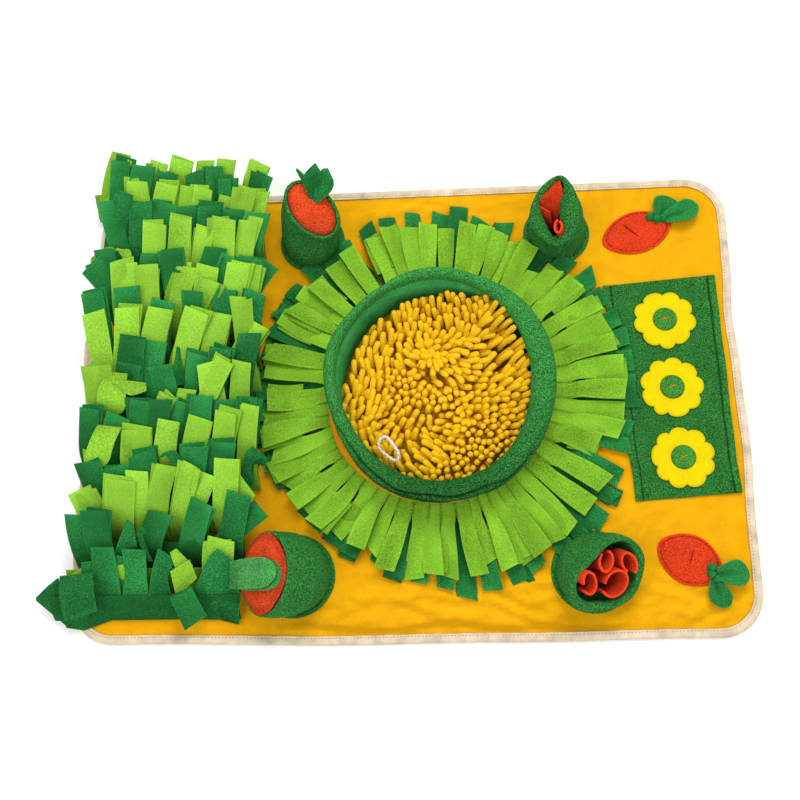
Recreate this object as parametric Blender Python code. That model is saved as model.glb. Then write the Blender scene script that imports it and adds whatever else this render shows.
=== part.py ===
"""Snuffle mat: a flat fleece mat with rows of cut fleece grass, a padded bowl of chenille noodles inside two
petal skirts, four fleece pouches and sewn felt flowers and carrots.

Metres, +Z up. The mat lies on z = 0, its middle is the origin, and +Y is its far long side.
"""

import math
import random

import bmesh
import bpy
from mathutils import Matrix, Vector

MM = 0.001
GAP = 0.3 * MM  # clearance between touching pieces
UP = Vector((0, 0, 1))

# Mat and its binding
MAT_HALF_X = 348 * MM
MAT_HALF_Y = 248 * MM
MAT_CORNER = 45 * MM
MAT_TOP = 4 * MM
SIDE_STEPS = 8
CORNER_STEPS = 5
TAPE_WIDTH = 12 * MM
TAPE_THICK = 1 * MM
TAPE_TOP = MAT_TOP + GAP
SEAT = MAT_TOP + GAP  # height at which sewn pieces start

# Swells (+) and drawn-in stretches (-) of the soft edge, in mm: side, middle, half length, amount
EDGE_SWELLS = (
    ("left", 65, 95, 9),
    ("left", -125, 80, 5),
    ("right", 85, 60, -3),
    ("right", -60, 70, 2.5),
    ("far", -250, 90, -2),
    ("near", 130, 140, 2),
)

# Fleece strips
FLEECE = 2 * MM
STRIP_APART = 1.2 * MM
STRIP_SPLAY = (1, 1.03, 1.06)  # width at root, middle and tip
BAND_FOOT = 6 * MM
STRIP_STEPS = 3
TOP_SIDE = 2  # side of a band's section, between its third and fourth corners, that strips grow from

# Grass rows from the near side: shade, left end, strips, pitch, band height and reach (all mm)
GRASS_ROWS = (
    ("dark", -324, 5, 29.0, 12, 74),
    ("light", -330, 7, 22.0, 3, 66),
    ("dark", -334, 7, 22.4, 3, 72),
    ("light", -335, 8, 22.2, 3, 75),
    ("dark", -333, 8, 22.2, 3, 72),
    ("light", -335, 8, 22.2, 3, 86),
    ("dark", -335, 8, 22.2, 3, 69),
    ("light", -336, 8, 22.2, 3, 87),
    ("dark", -335, 8, 22.2, 3, 84),
    ("light", -336, 8, 22.2, 3, 94),
    ("dark", -335, 8, 22.2, 3, 90),
    ("light", -334, 8, 22.2, 3, 94),
    ("dark", -331, 8, 22.2, 3, 84),
    ("light", -329, 8, 22.0, 3, 92),
    ("dark", -326, 8, 22.0, 3, 89),
    ("light", -323, 8, 21.8, 3, 84),
    ("dark", -321, 8, 21.6, 3, 82),
    ("light", -319, 8, 21.4, 3, 67),
)
GRASS_FIRST_Y = -224 * MM
GRASS_PITCH = 26.2 * MM
GRASS_RISE = 60  # slope at the root, degrees
GRASS_BEND = 0.45  # degrees that a strip bends down for each mm of its reach
GRASS_LIFT = 1.7  # neighbours rise this much more and less steeply, degrees
GRASS_FAN = 5  # outward turn of the end strips, degrees
LEAF_WIDTH = 46 * MM  # wide folded leaf at the near left corner
LEAF_REACH = 74 * MM
LEAF_HEADING, LEAF_RISE, LEAF_FALL, LEAF_TWIST = 167, 40, -34, 6  # degrees
LEAF_POINT = 0.2
LEAF_STEPS = 5

# Bowl
BOWL_X = 34 * MM
BOWL_Y = 3 * MM
BOWL_STEPS = 40
RIM_OUTER = 119 * MM
RIM_HALF_WIDE = 9.3 * MM
RIM_SWELL = 2.9 * MM  # the roll is thicker by this much towards RIM_FAT, and thinner opposite
RIM_FAT = math.radians(-35)
RIM_OVAL = 1.6 * MM  # the rim is longer across the mat and shorter along it
RIM_RIPPLE = 0.5 * MM
RIM_HALF_HIGH = 9 * MM
RIM_FLAT = 0.8  # share of the half height at which the underside is flat
RIM_SIDES = 7
RIM_MIDDLE = 57 * MM
RIM_LIFT = 13 * MM  # the far side stands higher by this much, the near side lower
RIM_HIGH = math.radians(100)  # where the rim stands highest
WALL_OUTER = 113.6 * MM
WALL_THIN = 6 * MM
LINING_THICK = 3 * MM
LINING_FOOT = 95.5 * MM
PAD_CLEAR = 1 * MM  # between the pile and the lining
PAD_EDGE = 33 * MM
PAD_TILT = 12 * MM
PAD_DOME = 9 * MM
PAD_LUMP = 1.6 * MM
PAD_STEPS = 32
PAD_RINGS = (0.3, 0.6, 0.84, 1.0)
LOCK_RISE = 9 * MM
LOCK_LEAN = 0.5 * MM
LOCK_INSET = 2.6 * MM
PRESSED_FROM, PRESSED_TO = 210, 248  # no locks stand here beside the pull loop, degrees

# Pull loop: angle round the bowl (degrees), distance from its middle and height over the pile (mm)
LOOP_ROUTE = (
    (238, 90, 1.7),
    (237.5, 86, 8),
    (236, 80, 14),
    (233, 75, 18),
    (229, 73, 19.5),
    (225, 75, 18),
    (222, 80, 14),
    (220.5, 86, 8),
    (220, 90, 1.7),
)
LOOP_CORD = 4 * MM
LOOP_SMOOTH = 2

# Petal skirts round the bowl: sizes in mm, and the cloth's height at the foot and at the tip
PETALS = 36
SKIRTS = (
    # name, shade, foot radius, slit radius, reach, foot height, slit height, tip height, lift of every other
    # tip, width, turn (share of a petal), seed
    ("skirt_light", "light", 114.4, 138, 58, 22, 17.5, 10.5, 4, 29, 0.0, 5),
    ("skirt_dark", "dark", 114.4, 140, 63, 11.5, 9, 6.4, 0.9, 27, 0.5, 9),
)
PETAL_BEND = 0.5  # how much of a petal's lift comes early
SLIT = 1.2 * MM
PATCH_LIFT = 4.5  # petals that reach the flower patch lie this much higher, mm
GRASS_END = -153 * MM  # petals stop here beside the grass
POUCH_CLEAR = 14 * MM  # between the middle of a petal and a pouch

# Pouches: foot x, y and half width, then the mouth's x, y, z, long and short half widths (all mm), the
# direction of its long side, the way it faces and how far it tips (degrees)
POUCHES = (
    ("pouch_tl", -105, 188, 31, -97, 197, 66, 36, 24, 131, -60, 18),
    ("pouch_tr", 164, 187, 31, 158, 196, 62, 36, 20, 97, 215, 20),
    ("pouch_bl", -118, -182, 37.5, -138, -185, 52, 42, 38, 90, 180, 42),
    ("pouch_br", 183, -182, 36.5, 194, -190, 43, 39, 37, 45, -42, 31),
)
POUCH_STEPS = 20
POUCH_SHARES = (0.3, 0.55, 0.8)  # places between foot and mouth that have a ring
POUCH_WALL = 4 * MM
POUCH_EDGE = ((0.6, 0), (2, 1.6), (4, 0))  # inset and lift of the rolled edge, mm
FLANGE_WIDE = 5 * MM
FLANGE_HIGH = 2.5 * MM
FLOOR_SHARE = 0.03  # place between foot and mouth of the cloth floor
FLOOR_LIFT = 0.2 * MM
POUCH_BULGE = 2 * MM

# Curled strips in the two open pouches: place along and across the mouth, half widths, direction of the long
# one, start and sweep of the curl (mm and degrees) and how far it stands out (mm)
ROLLS_NEAR = (
    (-21, 9, 12.5, 9.5, 70, 120, 320, 4),
    (-2, -12, 15, 13, 20, 150, 325, 6),
    (21, -3, 11.5, 8, 80, 200, 300, 5),
    (8, 15, 12, 7.5, 10, 60, 300, 2),
)
ROLLS_FAR = (
    (12, 0, 15, 7, 8, 200, 320, 3),
    (-15, 0, 11, 6, -12, 20, 325, 2),
)

# Leaf blades: heading, reach, rise, fall, twist, sway and width (degrees and mm), then the widths' shares at
# root, middle and tip
KNOT_HIGH = 2.5 * MM
BLADE_STEPS = 4
UPRIGHT_LEAVES = (
    (120, 30, 64, 50, -50, -14, 11, 0.45, 1, 0.5),
    (95, 30, 84, 74, 0, 0, 20, 0.24, 1, 0.5),
    (70, 30, 62, 44, 0, 14, 19, 0.26, 1, 0.45),
)
FOLDED_LEAF = (
    (180, 12, 5, -50, 0, 0, 30, 1, 0.95, 0.9),
    (0, 52, 74, 24, 0, 0, 30, 1, 1.03, 0.5),
)

# Flat felt pieces
FELT = 2 * MM
HEM = 8 * MM
HEM_RISE = 1 * MM
PATCH_CORNERS = ((211, 123), (329, 132), (335.5, -105), (231, -112))
FLOWERS = ((273, 82), (275, 7), (280.5, -68))
FLOWER_RADIUS = 32 * MM
FLOWER_LOBES = 9
FLOWER_NOTCH = 0.14  # depth of the notches, as a share of the radius
FLOWER_TURN = 0.2  # radians from one flower to the next
CENTRE_RADIUS = 12.5 * MM
# Carrots: name, middle x and y, half length, half width (mm) and the direction of the leaves (degrees)
CARROTS = (
    ("carrot_patch_top", 251, 185, 39, 24, 18),
    ("carrot_patch_low", 279, -172, 34, 25, -30),
)
CARROT_POINT = 0.22  # how much the ends are drawn in
# Felt leaves: name, knot x and y, then direction and length of both leaves (mm, degrees). FELT_BLADE holds
# the rest of a blade's columns
FELT_LEAVES = (
    ("carrot_top_leaves", 278, 200, 74, 30, 24, 42),
    ("carrot_low_leaves", 307, -184, -4, 30, -84, 36),
)

FELT_BLADE = (50, -24, 0, 0, 20, 0.3, 1, 0.45)

COLOURS = {
    "mat": ((0.93, 0.44, 0.012), 0.9),
    "tape": ((0.80, 0.66, 0.44), 0.8),
    "light": ((0.26, 0.53, 0.045), 0.95),
    "dark": ((0.028, 0.19, 0.055), 0.95),
    "pale": ((0.09, 0.36, 0.09), 0.95),
    "wall": ((0.86, 0.33, 0.012), 0.9),
    "noodle": ((0.86, 0.43, 0.012), 0.95),
    "cord": ((0.85, 0.82, 0.76), 0.7),
    "carrot": ((0.78, 0.06, 0.015), 0.95),
    "yellow": ((0.88, 0.72, 0.015), 0.95),
}


def clear_scene():
    for item in list(bpy.data.objects):
        bpy.data.objects.remove(item, do_unlink=True)


def cloth(name):
    """The material of one cloth colour, made once."""
    material = bpy.data.materials.get(name)
    if material is None:
        colour, rough = COLOURS[name]
        material = bpy.data.materials.new(name)
        material.use_nodes = True
        shader = material.node_tree.nodes["Principled BSDF"]
        shader.inputs["Base Color"].default_value = (*colour, 1)
        shader.inputs["Roughness"].default_value = rough
        shader.inputs["Metallic"].default_value = 0
        material.diffuse_color = (*colour, 1)
    return material


def finish(name, bm, shade):
    """Turn a bmesh into a named object with its cloth."""
    bmesh.ops.recalc_face_normals(bm, faces=bm.faces)
    mesh = bpy.data.meshes.new(name)
    bm.to_mesh(mesh)
    bm.free()
    mesh.materials.append(cloth(shade))
    mesh.shade_smooth()
    mesh.set_sharp_from_angle(angle=math.radians(40))
    piece = bpy.data.objects.new(name, mesh)
    bpy.context.scene.collection.objects.link(piece)
    return piece


def skin(bm, rings, close_rings=False):
    """Extrude a loop of edges through equal rings of points and return the loops. Open ends are capped,
    unless the last loop is bridged to the first."""
    loops = [[bm.verts.new(point) for point in rings[0]]]
    edges = [bm.edges.new(pair) for pair in zip(loops[0], loops[0][1:] + loops[0][:1])]
    first = edges
    for ring in rings[1:]:
        made = set(bmesh.ops.extrude_edge_only(bm, edges=edges)["geom"])
        loop = []
        for vert, point in zip(loops[-1], ring):
            raised = next(e.other_vert(vert) for e in vert.link_edges if e.other_vert(vert) in made)
            raised.co = point
            loop.append(raised)
        edges = [bm.edges.get(pair) for pair in zip(loop, loop[1:] + loop[:1])]
        loops.append(loop)
    if close_rings:
        bmesh.ops.bridge_loops(bm, edges=first + edges)
    else:
        bmesh.ops.edgenet_fill(bm, edges=first)
        bmesh.ops.edgenet_fill(bm, edges=edges)
    return loops


def polar(radius, angle, height=0.0):
    return Vector((radius * math.cos(angle), radius * math.sin(angle), height))


def blend(start, end, share):
    return start + (end - start) * share


# Mat -------------------------------------------------------------------------------------------------


def swell(side, along):
    """Outward shift of the soft edge at a place along one side."""
    total = 0.0
    for name, middle, half, amount in EDGE_SWELLS:
        reach = (along / MM - middle) / half
        if name == side and abs(reach) < 1:
            total += amount * MM * math.cos(reach * math.pi / 2) ** 2
    return total


def mat_outline(inset, height):
    """Points of the mat's rounded edge, drawn in by inset and at one height."""
    points = []
    sides = (
        ("near", Vector((0, -1, 0)), MAT_HALF_Y, MAT_HALF_X),
        ("right", Vector((1, 0, 0)), MAT_HALF_X, MAT_HALF_Y),
        ("far", Vector((0, 1, 0)), MAT_HALF_Y, MAT_HALF_X),
        ("left", Vector((-1, 0, 0)), MAT_HALF_X, MAT_HALF_Y),
    )
    for side, out, away, half in sides:
        along = Vector((-out.y, out.x, 0))
        straight = half - MAT_CORNER
        for step in range(SIDE_STEPS + 1):
            place = along * blend(-straight, straight, step / SIDE_STEPS)
            ordinate = place.x if side in ("near", "far") else place.y
            points.append(place + out * (away + swell(side, ordinate) - inset) + UP * height)
        middle = along * straight + out * (away - MAT_CORNER)
        for step in range(1, CORNER_STEPS):
            turn = math.radians(90) * step / CORNER_STEPS
            ray = out * math.cos(turn) + along * math.sin(turn)
            points.append(middle + ray * (MAT_CORNER - inset) + UP * height)
    return points


def make_mat():
    """Padded fleece rectangle, thinner where the binding grips its edge."""
    bm = bmesh.new()
    grip_low = TAPE_THICK + GAP
    grip_high = TAPE_TOP - TAPE_THICK - GAP
    profile = (
        (TAPE_WIDTH + 2 * GAP + MM, 0),
        (TAPE_WIDTH + 2 * GAP, grip_low),
        (TAPE_THICK + 2 * GAP, grip_low),
        (TAPE_THICK + 2 * GAP, grip_high),
        (TAPE_WIDTH + 2 * GAP, grip_high),
        (TAPE_WIDTH + 2 * GAP + MM, MAT_TOP),
    )
    skin(bm, [mat_outline(inset, height) for inset, height in profile])
    finish("mat_base", bm, "mat")


def make_binding():
    """Tape folded over the whole edge."""
    bm = bmesh.new()
    profile = (
        (TAPE_WIDTH, 0),
        (0.4 * MM, 0),
        (0, TAPE_TOP / 2),
        (0.4 * MM, TAPE_TOP),
        (TAPE_WIDTH, TAPE_TOP),
        (TAPE_WIDTH, TAPE_TOP - TAPE_THICK),
        (TAPE_THICK, TAPE_TOP - TAPE_THICK),
        (TAPE_THICK, TAPE_THICK),
        (TAPE_WIDTH, TAPE_THICK),
    )
    skin(bm, [mat_outline(inset, height) for inset, height in profile], close_rings=True)
    finish("edge_binding", bm, "tape")


# Strips ----------------------------------------------------------------------------------------------


def strip_frames(
    root, heading, reach, rise, fall, width, twist=0.0, sway=0.0, widths=(1, 1, 1), steps=STRIP_STEPS
):
    """Cross sections of one strip: middle, half width and half thickness. From root it heads one way, bends
    from the slope rise to the slope fall, turns by twist and leans sideways by sway (all radians). widths
    scale it at root, middle and tip."""
    frames = []
    place = root.copy()
    for step in range(steps + 1):
        share = step / steps
        slope = blend(rise, fall, share)
        ahead = polar(math.cos(slope), heading, math.sin(slope))
        side = Vector((math.sin(heading), -math.cos(heading), 0))
        lean = sway * min(1, 2 * share)
        tilt = Matrix.Rotation(-lean, 3, side.cross(ahead))
        ahead, side = tilt @ ahead, tilt @ side
        if step:
            place = place + ahead * (reach / steps)
        side = Matrix.Rotation(twist * share, 3, ahead) @ side
        low, mid, tip = widths
        scale = blend(low, mid, share * 2) if share < 0.5 else blend(mid, tip, share * 2 - 1)
        frames.append((place.copy(), side * width / 2 * scale, side.cross(ahead) * FLEECE / 2))
    return frames


def grow_strip(bm, face, frames):
    """Extrude one face along the frames, keeping each corner on its own edge of the strip."""

    def corners(frame):
        middle, side, depth = frame
        return [middle + side - depth, middle - side - depth, middle - side + depth, middle + side + depth]

    spots = corners(frames[0])
    verts = list(face.verts)
    turn = min(range(4), key=lambda t: sum((verts[i].co - spots[i - t]).length for i in range(4)))
    for frame in frames[1:]:
        face = bmesh.ops.extrude_discrete_faces(bm, faces=[face])["faces"][0]
        spots = corners(frame)
        for i, vert in enumerate(face.verts):
            vert.co = spots[i - turn]


def band_with_strips(bm, sections, strips, closed=False):
    """A sewn band of four-cornered sections, with strips grown from its top side. strips holds the frames
    of each strip, or None for a plain stretch between two sections."""
    rows = [[bm.verts.new(corner) for corner in section] for section in sections]
    spans = len(rows) if closed else len(rows) - 1
    roots = []
    for i in range(spans):
        here, there = rows[i], rows[(i + 1) % len(rows)]
        for side in range(4):
            after = (side + 1) % 4
            face = bm.faces.new((here[side], there[side], there[after], here[after]))
            if side == TOP_SIDE and strips[i]:
                roots.append((face, strips[i]))
    if not closed:
        bm.faces.new(rows[0])
        bm.faces.new(list(reversed(rows[-1])))
    bmesh.ops.recalc_face_normals(bm, faces=bm.faces)
    for face, frames in roots:
        grow_strip(bm, face, frames)


def make_grass_row(number, row):
    """One fleece band cut into strips, sewn down along its root and leaning to the far side. All rows bend
    alike, so that a long strip lies over the next row."""
    shade, left, count, pitch, high, reach = row
    rng = random.Random(100 + number)
    y = GRASS_FIRST_Y + GRASS_PITCH * number
    width = pitch * MM - STRIP_APART
    sections, strips = [], []
    for strip in range(count):
        start = (left + strip * pitch) * MM
        for x in (start, start + width):
            sections.append(
                [
                    Vector((x, y - BAND_FOOT / 2, SEAT)),
                    Vector((x, y + BAND_FOOT / 2, SEAT)),
                    Vector((x, y + FLEECE / 2, SEAT + high * MM)),
                    Vector((x, y - FLEECE / 2, SEAT + high * MM)),
                ]
            )
        root = Vector((start + width / 2, y, SEAT + high * MM))
        across = 2 * strip / (count - 1) - 1
        lift = GRASS_LIFT if strip % 2 else -GRASS_LIFT
        length = reach + rng.uniform(-7, 4)
        frames = strip_frames(
            root,
            math.radians(90 - GRASS_FAN * across + rng.uniform(-1.5, 1.5)),
            length * MM,
            math.radians(GRASS_RISE + lift),
            math.radians(GRASS_RISE + lift - GRASS_BEND * length),
            width,
            twist=math.radians(rng.uniform(-3, 3)),
            widths=STRIP_SPLAY,
        )
        if number == 0 and strip == 0:
            frames = corner_leaf(root, width)
        strips += [frames, None]
    bm = bmesh.new()
    band_with_strips(bm, sections, strips)
    finish(f"grass_row_{number + 1:02d}", bm, shade)


def corner_leaf(root, width):
    """The wide strip that folds over the near left corner and ends in a point."""
    return strip_frames(
        root,
        math.radians(LEAF_HEADING),
        LEAF_REACH,
        math.radians(LEAF_RISE),
        math.radians(LEAF_FALL),
        width,
        twist=math.radians(LEAF_TWIST),
        widths=(1, LEAF_WIDTH / width, LEAF_POINT),
        steps=LEAF_STEPS,
    )


def room_outside(angle):
    """Radius from the bowl's middle that is free in one direction, short of the grass and the pouches."""
    ray = polar(1, angle)
    room = RIM_OUTER * 2
    if ray.x < 0:
        room = min(room, (GRASS_END - BOWL_X) / ray.x)
    for _, x, y, foot, *_ in POUCHES:
        away = Vector((x * MM - BOWL_X, y * MM - BOWL_Y, 0))
        aside = away.cross(ray).length
        clear = foot * MM + FLANGE_WIDE + POUCH_CLEAR
        if aside < clear and away.dot(ray) > 0:
            room = min(room, away.dot(ray) - math.sqrt(clear**2 - aside**2))
    return room


def make_skirt(skirt):
    """A ring of cloth round the bowl's foot, slit into petals."""
    name, shade, foot, slit, reach, foot_z, slit_z, tip_z, lift, width, turn, seed = skirt
    rng = random.Random(seed)
    centre = Vector((BOWL_X, BOWL_Y, 0))
    pitch = math.tau / PETALS
    half_slit = SLIT / 2 / (slit * MM)
    sections, strips = [], []
    for petal in range(PETALS):
        middle = (petal + turn) * pitch
        for angle in (middle - pitch / 2 + half_slit, middle + pitch / 2 - half_slit):
            sections.append(
                [
                    centre + polar(foot * MM, angle, foot_z * MM - FLEECE / 2),
                    centre + polar(foot * MM, angle, foot_z * MM + FLEECE / 2),
                    centre + polar(slit * MM, angle, slit_z * MM + FLEECE / 2),
                    centre + polar(slit * MM, angle, slit_z * MM - FLEECE / 2),
                ]
            )
        length = min((reach + rng.uniform(-7, 4)) * MM, room_outside(middle) - slit * MM)
        tip = tip_z + PATCH_LIFT * max(0, math.cos(middle)) ** 4
        drop = math.asin((tip - slit_z) * MM / length)
        root_width = 2 * slit * MM * math.sin(pitch / 2 - half_slit)
        high = petal % 2
        tip_lift = lift * (rng.uniform(0.7, 1.3) if high else rng.uniform(0, 0.2)) * MM / length
        frames = strip_frames(
            centre + polar(slit * MM * math.cos(pitch / 2), middle, slit_z * MM),
            middle + math.radians(rng.uniform(-3, 3)),
            length,
            drop + tip_lift * (1 + PETAL_BEND),
            drop + tip_lift * (1 - PETAL_BEND),
            root_width,
            twist=math.radians(rng.uniform(-3, 3)) if high else 0,
            widths=(1, 1.04, width * MM / root_width),
        )
        strips += [frames, None]
    bm = bmesh.new()
    band_with_strips(bm, sections, strips, closed=True)
    finish(name, bm, shade)


# Bowl ------------------------------------------------------------------------------------------------


def rim_at(angle):
    """Middle radius, half width and middle height of the padded roll at one angle."""
    half = RIM_HALF_WIDE + RIM_SWELL * math.cos(angle - RIM_FAT) + RIM_RIPPLE * math.sin(3 * angle + 1)
    outer = RIM_OUTER - RIM_OVAL * math.cos(2 * angle) + RIM_RIPPLE * math.sin(5 * angle)
    height = RIM_MIDDLE + RIM_LIFT * math.cos(angle - RIM_HIGH) + 2 * RIM_RIPPLE * math.sin(3 * angle)
    return outer - half, half, height


def bowl_ring(radius_of, height_of):
    """One ring of points round the bowl from a radius and a height at each angle."""
    ring = []
    for step in range(BOWL_STEPS):
        angle = math.tau * step / BOWL_STEPS
        ring.append(Vector((BOWL_X, BOWL_Y, 0)) + polar(radius_of(angle), angle, height_of(angle)))
    return ring


def wall_top(angle):
    return rim_at(angle)[2] - RIM_FLAT * RIM_HALF_HIGH - GAP


def lining_inside(angle, height):
    """Radius of the lining's inner face, which leans out from its foot to the rim."""
    share = (height - SEAT) / (wall_top(angle) - SEAT)
    return blend(LINING_FOOT, WALL_OUTER - WALL_THIN - GAP - LINING_THICK, share)


def make_bowl_wall():
    """Padded orange wall, thicker at its foot."""
    bm = bmesh.new()
    rings = [
        bowl_ring(lambda a: WALL_OUTER, lambda a: SEAT),
        bowl_ring(lambda a: WALL_OUTER, wall_top),
        bowl_ring(lambda a: WALL_OUTER - WALL_THIN, wall_top),
        bowl_ring(lambda a: LINING_FOOT + LINING_THICK + GAP, lambda a: SEAT),
    ]
    skin(bm, rings, close_rings=True)
    finish("bowl_wall", bm, "wall")


def make_lining():
    """Green cloth inside the wall."""
    bm = bmesh.new()
    rings = [
        bowl_ring(lambda a: LINING_FOOT + LINING_THICK, lambda a: SEAT),
        bowl_ring(lambda a: lining_inside(a, wall_top(a)) + LINING_THICK, wall_top),
        bowl_ring(lambda a: lining_inside(a, wall_top(a)), wall_top),
        bowl_ring(lambda a: LINING_FOOT, lambda a: SEAT),
    ]
    skin(bm, rings, close_rings=True)
    finish("bowl_lining", bm, "dark")


def make_rim():
    """Padded roll with a flat underside that rests on the wall."""
    bm = bmesh.new()
    flat_turn = math.asin(RIM_FLAT)
    rings = []
    for step in range(RIM_SIDES):
        turn = -flat_turn + (math.pi + 2 * flat_turn) * step / (RIM_SIDES - 1)
        rings.append(
            bowl_ring(
                lambda a, t=turn: rim_at(a)[0] + rim_at(a)[1] * math.cos(t),
                lambda a, t=turn: rim_at(a)[2] + RIM_HALF_HIGH * math.sin(t),
            )
        )
    skin(bm, rings, close_rings=True)
    finish("bowl_rim", bm, "dark")


def pad_height(share, angle):
    """Height of the lumpy pile at a share of the pad's radius."""
    lump = math.sin(5 * angle + 9 * share) + math.sin(11 * share * math.pi - 3 * angle)
    tilt = PAD_TILT * share * math.cos(angle - RIM_HIGH)
    return PAD_EDGE + tilt + PAD_DOME * (1 - share**2) + PAD_LUMP * lump / 2


def pad_radius(angle):
    """Radius of the pile's edge, which leans on the lining."""
    return lining_inside(angle, pad_height(1, angle)) - PAD_CLEAR


def make_pad():
    """Pile of chenille noodles: a lumpy dome with locks standing round its rim."""
    bm = bmesh.new()
    centre = Vector((BOWL_X, BOWL_Y, 0))

    def ring(share, height_of, radius_of=pad_radius):
        points = []
        for step in range(PAD_STEPS):
            angle = math.tau * step / PAD_STEPS
            points.append(centre + polar(radius_of(angle) * share, angle, height_of(angle)))
        return points

    rings = [ring(1, lambda a: SEAT, lambda a: LINING_FOOT - PAD_CLEAR)]
    rings += [ring(share, lambda a, s=share: pad_height(s, a)) for share in reversed(PAD_RINGS)]
    outer, inner = skin(bm, rings)[1:3]
    chosen = []
    for i in range(PAD_STEPS):
        corners = {outer[i], outer[(i + 1) % PAD_STEPS], inner[i]}
        face = next(f for f in outer[i].link_faces if corners <= set(f.verts))
        pressed = PRESSED_FROM < 360 * (i + 0.5) / PAD_STEPS < PRESSED_TO
        if i % 3 and not pressed:
            chosen.append(face)
    bmesh.ops.recalc_face_normals(bm, faces=bm.faces)
    bmesh.ops.inset_individual(bm, faces=chosen, thickness=LOCK_INSET)
    for face in chosen:
        for rise in (0.55, 0.45):
            face = bmesh.ops.extrude_discrete_faces(bm, faces=[face])["faces"][0]
            out = (face.calc_center_median() - centre).normalized()
            shift = UP * LOCK_RISE * rise + Vector((out.x, out.y, 0)) * LOCK_LEAN
            bmesh.ops.translate(bm, verts=face.verts, vec=shift)
    finish("noodle_pad", bm, "noodle")


def smooth_route(points, parts):
    """Points along a Catmull-Rom curve through the given points."""
    route = []
    for i in range(len(points) - 1):
        before, start = points[max(i - 1, 0)], points[i]
        end, after = points[i + 1], points[min(i + 2, len(points) - 1)]
        for step in range(parts):
            t = step / parts
            route.append(
                0.5
                * (
                    2 * start
                    + (end - before) * t
                    + (2 * before - 5 * start + 4 * end - after) * t**2
                    + (3 * start - before - 3 * end + after) * t**3
                )
            )
    route.append(points[-1])
    return route


def make_loop():
    """White cord loop at the pad's edge, as a round tube."""
    stops = []
    for angle, away, over in LOOP_ROUTE:
        turn = math.radians(angle)
        share = away * MM / pad_radius(turn)
        height = pad_height(share, turn) + over * MM
        stops.append(Vector((BOWL_X, BOWL_Y, 0)) + polar(away * MM, turn, height))
    route = smooth_route(stops, LOOP_SMOOTH)
    curve = bpy.data.curves.new("pull_loop", "CURVE")
    curve.dimensions = "3D"
    curve.bevel_depth = LOOP_CORD / 2
    curve.bevel_resolution = 2
    curve.use_fill_caps = True
    spline = curve.splines.new("POLY")
    spline.points.add(len(route) - 1)
    for point, stop in zip(spline.points, route):
        point.co = (*stop, 1)
    curve.materials.append(cloth("cord"))
    bpy.context.scene.collection.objects.link(bpy.data.objects.new("pull_loop", curve))


# Pouches ---------------------------------------------------------------------------------------------


class Pouch:
    """Places rings across one pouch, from its round foot (share 0) to its slanted mouth (share 1)."""

    def __init__(self, row):
        self.name, foot_x, foot_y, foot_r, x, y, z, long, short, turn, faces, tip = row
        self.foot = Vector((foot_x, foot_y, 0)) * MM + UP * (SEAT + FLANGE_HIGH)
        self.mouth = Vector((x, y, z)) * MM
        self.foot_r, self.long, self.short = foot_r * MM, long * MM, short * MM
        self.turn, self.faces, self.tip = math.radians(turn), math.radians(faces), math.radians(tip)

    def axis(self, share):
        tip = self.tip * share
        return polar(math.sin(tip), self.faces, math.cos(tip))

    def middle(self, share):
        """A bend that leaves the foot upright and meets the mouth square on."""
        reach = (self.mouth - self.foot).length / 2.2
        a, d = self.foot, self.mouth
        b, c = a + UP * reach, d - self.axis(1) * reach
        rest = 1 - share
        return a * rest**3 + b * 3 * rest**2 * share + c * 3 * rest * share**2 + d * share**3

    def ring(self, share, inset=0.0, lift=0.0):
        """Points round the pouch, drawn in by inset and pushed out along the axis by lift."""
        bulge = POUCH_BULGE * math.sin(math.pi * min(max(share, 0), 1))
        long = blend(self.foot_r, self.long, share) + bulge - inset
        short = blend(self.foot_r, self.short, share) + bulge - inset
        points = []
        for step in range(POUCH_STEPS):
            angle = math.tau * step / POUCH_STEPS
            points.append(self.spot(share, long * math.cos(angle), short * math.sin(angle), lift))
        return points

    def spot(self, share, along, across, lift=0.0):
        """A point beside the axis, measured along the mouth's long and short sides."""
        tilt = Matrix.Rotation(self.tip * share, 3, polar(1, self.faces + math.pi / 2))
        flat = Matrix.Rotation(self.turn, 3, "Z") @ Vector((along, across, 0))
        return self.middle(share) + self.axis(share) * lift + tilt @ flat

    def flange(self, height):
        foot = Vector((self.foot.x, self.foot.y, height))
        radius = self.foot_r + FLANGE_WIDE
        return [foot + polar(radius, self.turn + math.tau * i / POUCH_STEPS) for i in range(POUCH_STEPS)]


def make_pouch(pouch):
    """Fleece cup with a flat flange, a double wall edge and a cloth floor."""
    bm = bmesh.new()
    rings = [pouch.flange(SEAT), pouch.flange(SEAT + FLANGE_HIGH), pouch.ring(0)]
    rings += [pouch.ring(share) for share in POUCH_SHARES]
    rings += [pouch.ring(1, inset * MM, lift * MM) for inset, lift in POUCH_EDGE]
    rings += [pouch.ring(share, POUCH_WALL) for share in reversed(POUCH_SHARES)]
    rings.append(pouch.ring(FLOOR_SHARE, POUCH_WALL, FLOOR_LIFT))
    skin(bm, rings)
    finish(pouch.name, bm, "dark")


def make_carrot_plug(name, pouch, spread):
    """Padded carrot top that fills a pouch's mouth and narrows inside it. Spread widens its dome over the
    pouch's edge."""
    bm = bmesh.new()
    inset = POUCH_WALL + 0.5 * MM
    rings = [
        pouch.ring(0.42, inset + 9 * MM),
        pouch.ring(POUCH_SHARES[1], inset + 2.5 * MM),
        pouch.ring(POUCH_SHARES[2], inset),
        pouch.ring(1, inset, 1.2 * MM),
        pouch.ring(1, inset - spread, 1.5 * MM + 0.5 * spread),
        pouch.ring(1, inset + 5 * MM, 5 * MM + 0.5 * spread),
        pouch.ring(1, inset + 12 * MM, 7 * MM + 0.5 * spread),
    ]
    skin(bm, rings)
    finish(name, bm, "carrot")


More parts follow.
